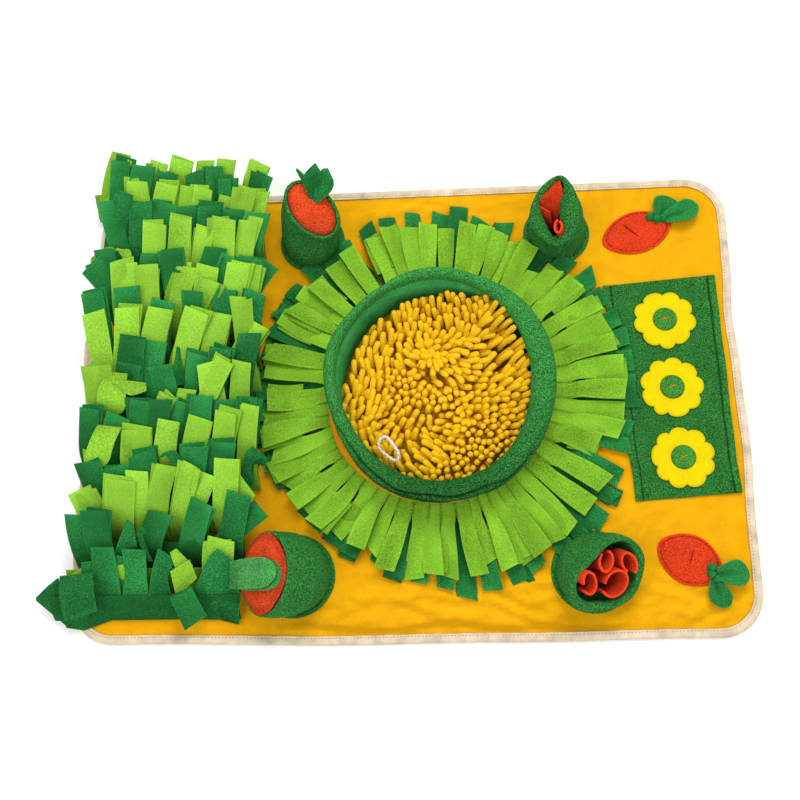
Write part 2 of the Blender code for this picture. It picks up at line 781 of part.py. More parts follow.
def make_blades(name, shade, knot, along, up, blades, root_long=FLEECE, half_across=FLEECE / 2):
    """Leaf blades fused to one sewn knot, a bar that runs along one way."""
    across = along.cross(up).normalized()
    high = KNOT_HIGH
    pitch = root_long + STRIP_APART
    start = -pitch * (len(blades) - 1) / 2 - root_long / 2
    sections, strips = [], []
    for i, (heading, reach, rise, fall, twist, sway, width, *widths) in enumerate(blades):
        for edge in (0, root_long):
            place = knot + along * (start + i * pitch + edge)
            low, top = place, place + up * high
            edge_out = across * half_across
            sections.append([low - edge_out, low + edge_out, top + edge_out, top - edge_out])
        frames = strip_frames(
            knot + along * (start + i * pitch + root_long / 2) + up * high,
            math.radians(heading),
            reach * MM,
            math.radians(rise),
            math.radians(fall),
            width * MM,
            twist=math.radians(twist),
            sway=math.radians(sway),
            widths=widths,
            steps=BLADE_STEPS,
        )
        strips += [frames, None]
    bm = bmesh.new()
    band_with_strips(bm, sections, strips)
    finish(name, bm, shade)


def make_roll(name, pouch, roll):
    """A strip curled into an open tube that stands on a pouch's floor and looks out of its mouth."""
    along, across, long, short, turn, start, sweep, out = roll
    steps = 11
    rings = []
    for share, lift in ((FLOOR_SHARE, FLOOR_LIFT + GAP), (1, out * MM)):
        outer, inner = [], []
        for step in range(steps + 1):
            angle = math.radians(start + sweep * step / steps)
            for side, shrink in ((outer, 0), (inner, FLEECE)):
                u = (long * MM - shrink) * math.cos(angle)
                v = (short * MM - shrink) * math.sin(angle)
                spin = math.radians(turn)
                u, v = u * math.cos(spin) - v * math.sin(spin), u * math.sin(spin) + v * math.cos(spin)
                side.append(pouch.spot(share, along * MM + u, across * MM + v, lift))
        rings.append(outer + inner[::-1])
    bm = bmesh.new()
    skin(bm, rings)
    finish(name, bm, "carrot")


# Flat felt and cloth ---------------------------------------------------------------------------------


def make_flat(name, shade, outline, floor, thick):
    """A flat piece cut from cloth."""
    bm = bmesh.new()
    skin(bm, [[Vector((x, y, z)) for x, y in outline] for z in (floor, floor + thick)])
    finish(name, bm, shade)


def make_flower_patch():
    """Dark rectangle with its two long sides turned under, which makes them thicker."""
    bm = bmesh.new()
    far_left, far_right, near_right, near_left = (Vector((x, y, 0)) * MM for x, y in PATCH_CORNERS)
    rings = []
    for share in [step / 6 for step in range(7)]:
        left, right = far_left.lerp(near_left, share), far_right.lerp(near_right, share)
        inward = (right - left).normalized()
        ring = [left + UP * SEAT, right + UP * SEAT]
        for x, z in ((0, HEM_RISE), (-HEM, HEM_RISE), (-HEM - MM, 0)):
            ring.append(right + inward * x + UP * (SEAT + FELT + z))
        for x, z in ((HEM + MM, 0), (HEM, HEM_RISE), (0, HEM_RISE)):
            ring.append(left + inward * x + UP * (SEAT + FELT + z))
        rings.append(ring)
    skin(bm, rings)
    finish("flower_patch", bm, "dark")


def make_flowers():
    """Scalloped felt flowers on the patch, each with a round centre."""
    floor = SEAT + FELT + GAP
    for number, (x, y) in enumerate(FLOWERS, 1):
        outline, disc = [], []
        points = FLOWER_LOBES * 5
        for i in range(points):
            angle = math.tau * i / points
            scallop = abs(math.sin(FLOWER_LOBES * angle / 2)) ** 0.7
            radius = FLOWER_RADIUS * (1 - FLOWER_NOTCH * (1 - scallop))
            angle += FLOWER_TURN * number
            outline.append((x * MM + radius * math.cos(angle), y * MM + radius * math.sin(angle)))
        for i in range(20):
            angle = math.tau * i / 20
            disc.append((x * MM + CENTRE_RADIUS * math.cos(angle), y * MM + CENTRE_RADIUS * math.sin(angle)))
        make_flat(f"flower_{number}", "yellow", outline, floor, FELT)
        make_flat(f"flower_centre_{number}", "pale", disc, floor + FELT + GAP, FELT * 0.75)


def make_flat_carrots():
    """Egg-shaped felt carrots, sewn flat."""
    for name, x, y, half_long, half_wide, tip in CARROTS:
        outline = []
        for i in range(26):
            angle = math.tau * i / 26
            u = half_long * math.cos(angle)
            v = half_wide * math.sin(angle) * (1 - CARROT_POINT * math.cos(angle) ** 2)
            spot = Matrix.Rotation(math.radians(tip), 2) @ Vector((u, v)) + Vector((x, y))
            outline.append(spot * MM)
        make_flat(name, "carrot", outline, SEAT, FELT)


def make_felt_leaves():
    """Two arched leaves at the root end of each flat carrot."""
    for name, x, y, first, first_reach, second, second_reach in FELT_LEAVES:
        middle = math.radians((first + second) / 2)
        blades = ((first, first_reach, *FELT_BLADE), (second, second_reach, *FELT_BLADE))
        knot = Vector((x * MM, y * MM, SEAT + FELT + GAP))
        along = Vector((math.sin(middle), -math.cos(middle), 0))
        make_blades(name, "pale", knot, along, UP, blades, root_long=5 * MM, half_across=2 * MM)


def make_pouches():
    far_left, far_right, near_left, near_right = (Pouch(row) for row in POUCHES)
    for pouch in (far_left, far_right, near_left, near_right):
        make_pouch(pouch)
    make_carrot_plug("carrot_tl", far_left, spread=0)
    make_carrot_plug("carrot_bl", near_left, spread=3 * MM)
    knot = far_left.spot(1, 5 * MM, -6 * MM, 7.4 * MM)
    across = polar(1, far_left.faces + math.pi / 2)
    up = far_left.axis(1)
    make_blades("carrot_tl_leaves", "dark", knot, across, up, UPRIGHT_LEAVES, root_long=4.5 * MM)
    knot = near_left.spot(1, 0, 22 * MM, 9.1 * MM)
    along = Vector((math.cos(near_left.tip), 0, math.sin(near_left.tip)))
    make_blades("carrot_bl_leaf", "pale", knot, along, near_left.axis(1), FOLDED_LEAF, half_across=15 * MM)
    for number, roll in enumerate(ROLLS_NEAR, 1):
        make_roll(f"roll_br_{number}", near_right, roll)
    for number, roll in enumerate(ROLLS_FAR, 1):
        make_roll(f"strip_tr_{number}", far_right, roll)


def main():
    clear_scene()
    make_mat()
    make_binding()
    for number, row in enumerate(GRASS_ROWS):
        make_grass_row(number, row)
    for skirt in SKIRTS:
        make_skirt(skirt)
    make_bowl_wall()
    make_lining()
    make_rim()
    make_pad()
    make_loop()
    make_pouches()
    make_flower_patch()
    make_flowers()
    make_flat_carrots()
    make_felt_leaves()


main()
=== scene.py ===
"""Looks of the snuffle mat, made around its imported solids. Metres, +Z up, the mat's middle at the origin."""

import math
import random

import bmesh
import bpy
import numpy as np
from mathutils import Matrix, Vector, noise


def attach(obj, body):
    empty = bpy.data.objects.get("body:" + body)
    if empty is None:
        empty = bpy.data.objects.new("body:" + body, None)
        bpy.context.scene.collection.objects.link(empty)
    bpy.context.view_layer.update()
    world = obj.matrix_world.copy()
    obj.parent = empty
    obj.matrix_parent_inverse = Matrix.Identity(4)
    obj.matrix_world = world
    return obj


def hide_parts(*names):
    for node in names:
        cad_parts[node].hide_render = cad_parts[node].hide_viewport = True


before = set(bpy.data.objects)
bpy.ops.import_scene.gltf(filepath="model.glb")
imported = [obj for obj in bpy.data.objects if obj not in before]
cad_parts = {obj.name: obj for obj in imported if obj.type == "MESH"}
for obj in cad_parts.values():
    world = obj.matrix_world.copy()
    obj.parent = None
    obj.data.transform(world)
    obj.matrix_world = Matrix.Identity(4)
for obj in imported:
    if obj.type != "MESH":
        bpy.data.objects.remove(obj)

bl_info = {
    "name": "Snuffle mat",
    "version": (1, 0, 0),
    "blender": (4, 5, 0),
    "location": "View3D > Sidebar > Snuffle mat",
    "description": "Fleece foraging mat with cut grass, a bowl of chenille noodles, pouches and felt pieces",
    "category": "Object",
}

MM = 0.001
UP = Vector((0, 0, 1))
BODY = "root"
SEAT = 4.3 * MM  # top of the mat, where sewn pieces start
TINY = 1e-6  # verts closer than this are merged

# Camera: where it stands, and its right, up and back directions
CAMERA_PLACE = (0.0686, -0.3185, 1.0856)
CAMERA_RIGHT = (0.99729, -0.00608, -0.07327)
CAMERA_UP = (0.02658, 0.95895, 0.28232)
CAMERA_BACK = (0.06855, -0.28351, 0.95652)
CAMERA_LENS = 48.01
CAMERA_SENSOR = 36

# Mat: half sizes, corner radius and top. Its cloth stays inside the tape's fold, is pressed down where the
# tape holds it, rises over a fade, and sinks a little elsewhere
MAT_HALF_X, MAT_HALF_Y, MAT_CORNER = 348 * MM, 248 * MM, 45 * MM
MAT_TOP = 4 * MM
MAT_INSET, TAPE_HOLDS, TAPE_FADE, TAPE_PRESS, MAT_SINK = 1.7 * MM, 9 * MM, 5 * MM, 1.4 * MM, 0.3 * MM
# Height of the mat cloth's underside, and its height over the folded tape, which reaches so far in
MAT_FLOOR, TAPE_FLOOR, TAPE_UNDER = 0.1 * MM, 1.3 * MM, 14 * MM
# Stitches of the tape: how many, how far in and how high they lie, and half the thread's thickness
STITCHES, STITCH_INSET, STITCH_HIGH, STITCH_RADIUS = 640, 6.8 * MM, 4.2 * MM, 0.55 * MM
# Swells of the soft edge, in mm: side, middle, half length, amount outward
EDGE_SWELLS = (
    ("left", 65, 95, 9), ("left", -125, 80, 5), ("right", 85, 60, -3), ("right", -60, 70, 2.5),
    ("far", -250, 90, -2), ("near", 130, 140, 2), ("near", -70, 190, 3),
)

# Patches of fine folds in the mat: middle x and y, half length and half depth (mm), direction (degrees), how
# far the folds lie apart and how high they are (mm)
MAT_FOLDS = (
    (20, 224, 120, 20, 3, 8, 1.1),
    (275, -222, 70, 26, 16, 9, 1.2),
    (235, -135, 34, 20, 25, 9, 0.8),
    (-20, -205, 90, 22, 4, 9, 0.9),
    (140, 236, 60, 14, -8, 8, 0.8),
)
# Folds along the near side: middle x and y, half length and half depth
NEAR_FOLDS = (120 * MM, -208 * MM, 200 * MM, 30 * MM)
FOLD_SHARP = 2.2  # how sharp the ridges of all folds are
# Crease along the near tape: where it starts and ends along x, how it fades there, and half its width
EDGE_CREASE_FROM, EDGE_CREASE_TO, EDGE_CREASE_FADE, EDGE_CREASE_HALF = -150 * MM, 240 * MM, 60 * MM, 2.6 * MM
# Painted light and shade on the mat: how its tone follows its slopes, lighter where they face the far side and
# darker where they face the near side, and how dark the painted shade in the crease is
SLOPE_PAINTED_LIGHT, SLOPE_DARKEST, SLOPE_LIGHTEST, SLOPE_STEP, EDGE_CREASE_PAINTED_SHADE = 0.22, -0.3, 0.25, 4 * MM, 0.75

# Grass rows from the near side: root x, tip x, tip y and width of each strip (mm). Odd rows are dark
GRASS_FIRST_Y, GRASS_PITCH, GRASS_SHADES = -224, 26.2, ("light", "dark")
GRASS = (
    (),
    ((-335, -326, -183, 22), (-297, -279, -173, 22), (-183, -184, -150, 26)),
    ((-330, -333, -123, 22), (-324, -316, -119, 27), (-259, -247, -122, 26), (-210, -205, -112, 25),
     (-178, -167, -105, 25), (-190, -145, -120, 23)),
    ((-308, -331, -98, 23), (-294, -290, -88, 30), (-262, -274, -79, 24), (-257, -243, -74, 21),
     (-231, -215, -76, 20), (-222, -199, -84, 19), (-187, -180, -70, 26), (-194, -159, -97, 26)),
    ((-318, -324, -70, 24), (-292, -297, -73, 28), (-262, -270, -60, 27), (-214, -214, -55, 25),
     (-192, -185, -52, 28)),
    ((-280, -277, -36, 30), (-255, -244, -26, 25), (-229, -210, -25, 25), (-189, -185, -19, 24),
     (-166, -160, -12, 20)),
    ((-331, -326, -14, 22), (-304, -296, -20, 26), (-266, -272, -5, 27), (-263, -252, -4, 23),
     (-254, -228, -8, 22), (-219, -211, -1, 24), (-180, -184, -6, 24), (-169, -162, -6, 22)),
    ((-320, -326, 32, 26), (-243, -246, 0, 20), (-213, -225, 1, 20), (-193, -204, 34, 27),
     (-206, -187, 36, 20), (-171, -170, 34, 22)),
    ((-303, -287, 35, 26), (-299, -287, 63, 26), (-276, -262, 60, 24), (-245, -257, 33, 23),
     (-224, -216, 44, 24), (-196, -192, 48, 24), (-175, -168, 47, 21), (-172, -163, 66, 24)),
    ((-321, -333, 95, 24), (-300, -296, 99, 27), (-276, -259, 97, 27), (-239, -219, 92, 25),
     (-195, -194, 89, 24), (-168, -169, 100, 18), (-185, -153, 76, 24)),
    ((-324, -335, 117, 25), (-296, -298, 123, 27), (-271, -257, 106, 25), (-217, -225, 113, 22),
     (-197, -190, 116, 23), (-170, -158, 112, 22)),
    ((-297, -303, 150, 27), (-272, -278, 148, 25), (-247, -234, 144, 24), (-225, -211, 145, 24),
     (-231, -205, 125, 20), (-186, -177, 146, 24), (-171, -162, 144, 20)),
    ((-305, -340, 150, 24), (-311, -324, 166, 20), (-287, -273, 161, 24), (-236, -249, 163, 25),
     (-216, -203, 165, 25), (-192, -185, 153, 25), (-171, -165, 153, 24), (-180, -143, 144, 22)),
    ((-272, -271, 195, 25), (-245, -243, 201, 25), (-225, -215, 190, 21), (-192, -195, 198, 25),
     (-183, -169, 196, 23)),
    ((-307, -326, 226, 21), (-322, -307, 228, 22), (-293, -288, 221, 26), (-275, -261, 221, 25),
     (-241, -236, 214, 23), (-219, -212, 215, 25), (-202, -186, 209, 24), (-171, -158, 204, 26)),
    ((-294, -294, 248, 25), (-268, -260, 243, 25), (-233, -235, 240, 22), (-223, -220, 237, 22),
     (-199, -191, 225, 21), (-181, -169, 232, 22), (-168, -157, 230, 20)),
    ((-317, -315, 274, 22), (-300, -287, 265, 25), (-285, -260, 259, 25), (-205, -232, 257, 20),
     (-205, -209, 262, 20), (-196, -193, 247, 20), (-174, -151, 247, 22)),
    ((-337, -309, 276, 22), (-272, -269, 267, 20), (-246, -242, 268, 25), (-218, -219, 270, 22),
     (-201, -193, 267, 22), (-172, -159, 263, 22)),
)

# Strips that fold, curl or hang: row, whether the end is round, and the two edges from root to tip, as
# x, y, z of the left and of the right one (mm)
FREE_STRIPS = (
    (1, 0, ((-351, -231, 6, -332, -234, 6), (-348, -213, 24, -319, -205, 25))),
    (1, 0, ((-331, -205, 20, -321, -205, 20), (-328, -170, 40, -317, -169, 40))),
    (1, 0, ((-333, -234, 6, -298, -222, 6), (-320, -205, 25, -290, -208, 23),
     (-315, -182, 41, -289, -185, 40), (-315, -157, 53, -292, -157, 53))),
    (1, 0, ((-298, -202, 24, -287, -203, 24), (-291, -164, 46, -282, -166, 46))),
    (1, 0, ((-298, -222, 6, -267, -223, 6), (-290, -208, 23, -261, -206, 25),
     (-282, -185, 41, -260, -185, 40), (-283, -159, 52, -259, -160, 52))),
    (1, 0, ((-267, -223, 6, -236, -223, 6), (-261, -206, 25, -237, -204, 26),
     (-255, -183, 42, -238, -186, 42), (-246, -159, 54, -228, -170, 50))),
    (1, 0, ((-236, -223, 6, -213, -224, 6), (-237, -205, 26, -213, -199, 30),
     (-233, -209, 42, -212, -197, 45), (-227, -223, 36, -206, -210, 39), (-225, -235, 18, -202, -221, 23))),
    (1, 0, ((-213, -224, 6, -192, -225, 6), (-213, -199, 30, -193, -213, 22),
     (-206, -185, 40, -182, -196, 33), (-196, -167, 48, -174, -180, 43), (-187, -160, 51, -173, -171, 46))),
    (1, 0, ((-192, -225, 6, -173, -230, 6), (-193, -213, 22, -171, -218, 16),
     (-188, -200, 31, -168, -206, 25), (-179, -189, 37, -168, -196, 33))),
    (1, 0, ((-354, -183, 30, -347, -231, 7), (-367, -191, 24, -364, -217, 12),
     (-380, -201, 18, -380, -204, 17))),
    (1, 0, ((-349, -197, 30, -318, -196, 30), (-347, -185, 43, -314, -182, 43),
     (-345, -205, 44, -310, -202, 44), (-346, -225, 26, -312, -216, 28))),
    (2, 0, ((-228, -184, 42, -212, -176, 46), (-233, -164, 56, -227, -160, 57))),
    (2, 0, ((-231, -205, 32, -209, -187, 40), (-234, -181, 48, -214, -171, 53))),
    (3, 0, ((-295, -164, 40, -272, -161, 40), (-286, -148, 52, -270, -150, 48),
     (-277, -131, 60, -273, -132, 56))),
    (3, 0, ((-259, -170, 40, -255, -169, 40), (-264, -155, 50, -261, -154, 46),
     (-267, -143, 54, -263, -145, 50), (-262, -138, 56, -259, -141, 50))),
    (5, 0, ((-235, -119, 34, -230, -119, 34), (-234, -94, 50, -227, -96, 46), (-234, -76, 58, -227, -72, 54),
     (-243, -66, 58, -233, -61, 58), (-252, -68, 54, -246, -63, 57))),
    (5, 0, ((-168, -94, 34, -156, -94, 34), (-165, -78, 46, -158, -77, 42), (-161, -64, 56, -151, -70, 48),
     (-154, -58, 58, -141, -69, 50))),
    (5, 0, ((-160, -93, 32, -156, -93, 32), (-159, -76, 40, -156, -72, 36), (-155, -69, 44, -146, -74, 36),
     (-146, -62, 50, -142, -68, 40))),
    (6, 1, ((-317, -44, 42, -296, -42, 42), (-314, -33, 58, -290, -36, 57), (-321, -49, 59, -296, -51, 57),
     (-326, -62, 54, -301, -64, 52), (-324, -74, 46, -305, -72, 46))),
    (6, 1, ((-333, -53, 44, -329, -55, 46), (-332, -66, 40, -321, -74, 44), (-333, -79, 32, -316, -82, 36),
     (-334, -89, 26, -320, -90, 27))),
    (8, 1, ((-309, 26, 52, -288, 23, 56), (-317, 8, 58, -291, 5, 50), (-319, -6, 54, -291, -7, 46),
     (-319, -16, 40, -297, -17, 38))),
    (8, 0, ((-272, 16, 44, -271, 7, 44), (-287, 16, 54, -286, 2, 48), (-303, 15, 58, -297, 9, 54))),
    (9, 0, ((-245, 13, 40, -231, 14, 42), (-240, 33, 54, -232, 32, 50), (-237, 50, 60, -234, 48, 60))),
    (14, 0, ((-345, 160, 34, -343, 164, 38), (-322, 162, 50, -318, 169, 53), (-297, 163, 58, -304, 156, 54),
     (-293, 152, 58, -307, 152, 50))),
    (13, 0, ((-262, 153, 44, -253, 152, 44), (-264, 158, 50, -255, 140, 46), (-256, 138, 46, -253, 143, 50),
     (-247, 149, 52, -251, 155, 48))),
)

# Bowl, with the solids' own sizes
BOWL = Vector((34 * MM, 3 * MM, 0))
RIM_OUTER, RIM_HALF_WIDE, RIM_SWELL, RIM_OVAL, RIM_RIPPLE = 119 * MM, 9.3 * MM, 2.9 * MM, 1.6 * MM, 0.5 * MM
RIM_HALF_HIGH, RIM_FLAT, RIM_MIDDLE, RIM_LIFT = 9 * MM, 0.8, 57 * MM, 13 * MM
# Creases of the rim: place round the roll (degrees), depth (mm) and how far they wander (degrees)
RIM_CREASES = ((-26, 4.2, 34), (10, 3.6, 38), (50, 3.0, 44))
# Half width of a crease (degrees), and the painted shade in it for each mm of depth
RIM_CREASE_WIDE, RIM_CREASE_PAINTED_SHADE = 8, 0.11
# Painted light and shade on the rim's cloth round the bowl, lighter at the far side and darker at the near
# side: angle, tone
RIM_PAINTED_LIGHT = (
    (0, 0.06), (60, 0.14), (120, 0.16), (180, 0.12), (220, -0.02), (250, -0.2), (280, -0.22), (320, -0.06),
    (360, 0.06),
)
# How far the soft roll leaves its round: angle, outwards at its outer and at its inner side (mm)
RIM_OUTER_SHIFT = (
    (0, 1), (20, 2.3), (45, 2.7), (60, 0), (72, -2), (85, 0), (100, 0.5), (115, -1.5), (132, -3.2),
    (147, -1), (158, 2), (175, 0), (190, -3), (200, -4.2), (215, -4.2), (231, -2), (250, 0), (345, 0.5),
    (360, 1),
)
RIM_INNER_SHIFT = (
    (0, 0), (165, 0), (190, -4), (202, -5.5), (215, -5.5), (231, -4), (250, -1), (270, 0), (360, 0),
)
RIM_SHIFT_SOFT = 5  # degrees to each side over which the shifts are evened out
# Where the roll is fattest, highest, most creased and flattest on its inside, and how flat it gets there
RIM_FAT, RIM_HIGH, RIM_CREASED, RIM_THIN = (math.radians(turn) for turn in (-35, 100, 256, 115))
RIM_THINNING = 0.35
# Pinch across the roll, and the fold in the lining below it: place and half width (degrees), how deep
RIM_PINCH_AT, RIM_PINCH_HALF, RIM_PINCH = 118, 3.5, 0.2
LINING_FOLD_AT, LINING_FOLD_HALF, LINING_FOLD = 99.5, 0.8, 1.5 * MM
WALL_OUTER, WALL_THIN, LINING_THICK, LINING_FOOT = 113.6 * MM, 6 * MM, 3 * MM, 95.5 * MM
LINING_OVER = 5 * MM  # how far the lining goes up and out under the rim
# How far the wall's loose cloth stands out under the rim: angle, amount (mm), and the height of that
WALL_BAGS = ((0, 0), (175, 0), (200, 4.5), (212, 7), (235, 6), (262, 5.5), (290, 4), (315, 0), (360, 0))
BAG_HEIGHT, BAG_HALF = 35 * MM, 9 * MM
GAP = 0.3 * MM  # between the bowl's pieces
# Pile: room beside the lining, height of its edge, tilt, rise in the middle, and height of its lumps
PAD_CLEAR, PAD_EDGE, PAD_TILT, PAD_DOME, PAD_LUMP = 1 * MM, 33 * MM, 12 * MM, 9 * MM, 1.6 * MM
PAD_BED = 11 * MM  # how far the bed under the noodles lies below the pile

# Which way the noodles lean: place on the pile (mm from the bowl's middle), direction (degrees) and how
# flat they lie (0 upright, 1 lying)
NOODLE_FLOW = (
    (-80, 30, 100, 0.85), (-72, -10, 75, 0.8), (-60, 55, 60, 0.75), (-30, 75, 85, 0.55), (0, 85, 95, 0.5),
    (30, 78, 100, 0.5), (55, 58, 30, 0.9), (75, 40, 25, 0.95), (80, 15, 30, 0.8), (30, 35, -15, 0.85),
    (10, 45, 20, 0.6), (-25, 38, 160, 0.7), (20, 8, -50, 0.95), (-5, 15, -80, 0.8), (-15, -5, 60, 0.1),
    (-35, 5, 20, 0.1), (10, -15, -85, 0.5), (45, -10, 10, 0.45), (80, -15, 0, 0.55), (60, -40, -20, 0.3),
    (40, -60, -60, 0.15), (15, -85, 0, 0.1), (-15, -60, 150, 0.8), (-30, -30, 60, 0.5), (-55, -35, 20, 0.7),
    (-70, -45, 120, 0.7), (5, -40, 200, 0.6),
)

# How far the pile's outer noodles stand outwards, and then upwards: angle, amount (mm)
PILE_OUT = ((0, 2), (20, 5), (45, 9), (70, 5), (95, 0), (125, -5), (150, -3), (180, 0), (330, 0), (360, 2))
PILE_UP = ((0, 2), (20, 6), (45, 10), (70, 5), (95, 0), (180, 0), (330, 0), (360, 2))

# Pull loop: x, y, z of its middle line (mm)
LOOP_ROUTE = (
    (-26.9, -60.5, 40), (-28, -56, 43.5), (-25.5, -51.2, 47), (-20.3, -49.6, 49.5), (-15, -55, 50.5),
    (-10.2, -61.5, 49.5), (-7.2, -67.5, 46.5), (-8.8, -72, 43), (-13.9, -71.5, 41), (-19.0, -67.5, 40),
    (-24.3, -63, 40), (-26.6, -61, 41.5),
)
# Cord: thickness, length and depth of a twist, and mean radius as a share of half the thickness
LOOP_CORD, LOOP_TWIST, LOOP_TWIST_DEEP, LOOP_STRAND = 3.4 * MM, 9 * MM, 0.24, 0.88

# Petals of the light skirt: angle of the tip, distance from the bowl's middle, width (mm), turn (degrees)
LIGHT_PETALS = (
    (8, 194, 27, -2), (16, 191, 20, -9), (23, 192, 25, -2), (30, 195, 21, 8), (40, 193, 23, -2),
    (47, 183, 22, 30), (52, 170, 20, 30), (59, 195, 23, -3), (65, 189, 20, 25), (69, 193, 20, -8),
    (74, 198, 20, -10), (80, 196, 21, -14), (87, 189, 20, 10), (93, 194, 22, -3), (99, 194, 23, -10),
    (106, 198, 21, -16), (111, 195, 20, -12), (121, 193, 20, -7), (127, 191, 22, -10), (136, 186, 20, -18),
    (141, 193, 21, 8), (147, 190, 20, -20), (151, 195, 20, -3), (164, 190, 20, -20), (169, 189, 20, 8),
    (180, 183, 21, 6), (187, 187, 20, -20), (193, 190, 20, -14), (199, 186, 20, -24), (205, 192, 20, 4),
    (210, 186, 18, 24), (216, 189, 20, 8), (220, 184, 18, -4), (226, 188, 24, 9), (233, 181, 20, -7),
    (241, 181, 22, 14), (246, 178, 20, -20), (252, 191, 23, 5), (261, 193, 23, 12), (267, 187, 23, -8),
    (272, 190, 20, -12), (281, 192, 20, -8), (286, 181, 19, 9), (290, 194, 20, 3), (296, 190, 24, -6),
    (301, 194, 24, 4), (306, 193, 23, -10), (312, 194, 20, 6), (321, 193, 24, 8), (329, 193, 24, -5),
    (340, 170, 26, -16), (347, 190, 22, -10), (353, 191, 25, 6), (360, 192, 23, -5),
)
# How far the dark skirt reaches: angle, distance (mm)
DARK_REACH = (
    (0, 204), (40, 210), (60, 207), (75, 215), (88, 219), (100, 220), (112, 217), (125, 216), (135, 209),
    (150, 205), (168, 194), (176, 204), (188, 203), (200, 195), (211, 192), (236, 189), (262, 199),
    (283, 211), (296, 207), (304, 203), (325, 214), (340, 205), (360, 204),
)
DARK_PETALS = 50
# Share of the skirts' breadth that is left uncut: angle, share
SLIT_STARTS = (
    (0, 0.24), (40, 0.14), (70, 0.1), (120, 0.1), (170, 0.06), (200, 0.1), (230, 0.15), (270, 0.17),
    (310, 0.17), (345, 0.22), (360, 0.24),
)
# How many of the light petals have a second layer: angle, share
TWIN_SHARE = ((0, 0.3), (50, 0.15), (130, 0.2), (150, 0.8), (225, 0.8), (250, 0.5), (330, 0.5), (360, 0.3))
# Width of the petals against the table's: all of them, then by angle
PETAL_FULL = 0.92
PETAL_SPREAD = ((0, 1), (145, 1), (162, 1.3), (205, 1.3), (225, 1), (360, 1))
SLIT_OPENS = 0.16  # share of the breadth over which a slit opens
CREASE_PAINTED_SHADE = 0.32  # painted shade in the crease that runs from each slit to the bowl
PETAL_FOLD_PAINTED_LIGHT = 0.2  # how much the painted light and shade over a petal's soft folds changes its tone
CUT_EDGE_HIGHLIGHT = 0.1  # how much lighter a petal's cut edge is, as a painted highlight
# Radius of the skirts' inner edge and of their uncut band, how high that stays over the mat's top, and how
# far a petal's second layer lies below it at its start and its tip
SKIRT_FOOT, SKIRT_BAND, SKIRT_CLEAR, TWIN_START, TWIN_TIP = 114.6 * MM, 134 * MM, 3 * MM, 5 * MM, 2.2 * MM

# Pouches: foot x, y and half width, then the mouth's x, y, z, long and short half widths (all mm), the
# direction of its long side, the way it faces and how far it tips (degrees)
POUCHES = (
    ("pouch_tl", -105, 188, 31, -97, 197, 66, 36, 24, 131, -60, 18),
    ("pouch_tr", 164, 187, 31, 158, 196, 62, 36, 20, 97, 215, 20),
    ("pouch_bl", -118, -182, 37.5, -138, -185, 52, 42, 38, 90, 180, 42),
    ("pouch_br", 183, -182, 36.5, 194, -190, 43, 39, 37, 45, -42, 31),
)
# Mouths that aren't plain ovals: outer and inner edge at every 45 degrees from +X, as x, y, z (mm)
MOUTHS = {
    "pouch_tr": (
        ((183, 182, 66), (179, 203, 76), (165, 216, 84), (146, 209, 76),
         (134, 191, 64), (134, 173, 52), (157, 155, 44), (178, 160, 52)),
        ((164, 193, 62), (168, 207, 76), (162, 213, 80), (152, 205, 74),
         (143, 194, 66), (147, 182, 56), (157, 166, 46), (164, 171, 48)),
    ),
    "pouch_br": (
        ((230, -177, 34), (220, -158, 44), (198, -154, 56), (177, -174, 62),
         (156, -198, 54), (159, -218, 38), (183, -224, 28), (217, -210, 24)),
        ((221, -181, 36), (214, -161, 46), (197, -162, 56), (182, -175, 60),
         (162, -198, 54), (168, -213, 42), (190, -214, 32), (213, -205, 28)),
    ),
}
POUCH_WALL, FLANGE_WIDE, FLANGE_HIGH, POUCH_BULGE = 4 * MM, 5 * MM, 2.5 * MM, 2 * MM
FLOOR_SHARE = 0.03  # where the cloth floor lies, as a share of the pouch's height
# Curled strips: place along and across the mouth, half widths, direction of the long one, start and sweep of
# the curl (mm and degrees) and how far it stands out (mm)
ROLLS_NEAR = (
    (-21, 14, 14, 10, 70, 120, 320, 8),
    (-2, -7, 16, 13.5, 20, 150, 325, 8),
    (20, -2, 13.5, 8.5, 70, 200, 300, 10),
    (6, 15, 12.5, 8.5, 30, 60, 300, 6),
)
ROLL_FAR = (-27, -1, 9, 5.5, -12, 20, 325, 4)
# Folded strips of the far right pouch, as the edges of each from its root (x, y, z of left and right, mm)
FOLDS_FAR = (
    ((150, 188, 10, 161, 184, 10), (150, 190, 40, 163, 186, 44),
     (144, 195, 64, 167, 200, 72), (145, 199, 71, 164, 212, 82)),
    ((152, 192, 10, 160, 188, 10), (148, 194, 44, 160, 190, 46),
     (142, 197, 63, 163, 203, 71), (142, 199, 68, 161, 213, 79)),
    ((147, 184, 10, 156, 180, 10), (146, 185, 40, 156, 180, 42), (141.5, 193, 62, 154, 187, 58)),
)
# Upright leaves of the far carrot and the leaf tab of the near one, in the same way
UPRIGHT_LEAVES = (
    ((-96, 203, 74, -92, 205, 74), (-104, 219, 82, -100, 222, 87), (-112, 233, 88, -111, 234, 90)),
    ((-98, 203, 74, -90, 203, 74), (-103, 218, 88, -84, 217, 91),
     (-101, 225, 93, -84, 224, 97), (-90, 234, 99, -88, 234, 99)),
    ((-95, 202, 74, -90, 200, 74), (-91, 211, 84, -75, 207, 84),
     (-84, 227, 95, -71, 212, 91), (-76, 229, 96, -70, 216, 92)),
)
LEAF_TAB = (
    ((-174, -173, 52, -173, -199, 52), (-161.5, -172, 62.5, -160.5, -201, 62.5),
     (-148, -171.5, 69.5, -147, -201.5, 69.5), (-136, -172.5, 75, -135, -201, 75),
     (-123, -176, 79, -123, -197, 79)),
    ((-160, -174, 60, -159, -202, 60), (-145, -173, 67.5, -145, -203, 67.5), (-132, -174, 73, -131, -203, 73),
     (-118, -178, 77, -118, -199, 77)),
)

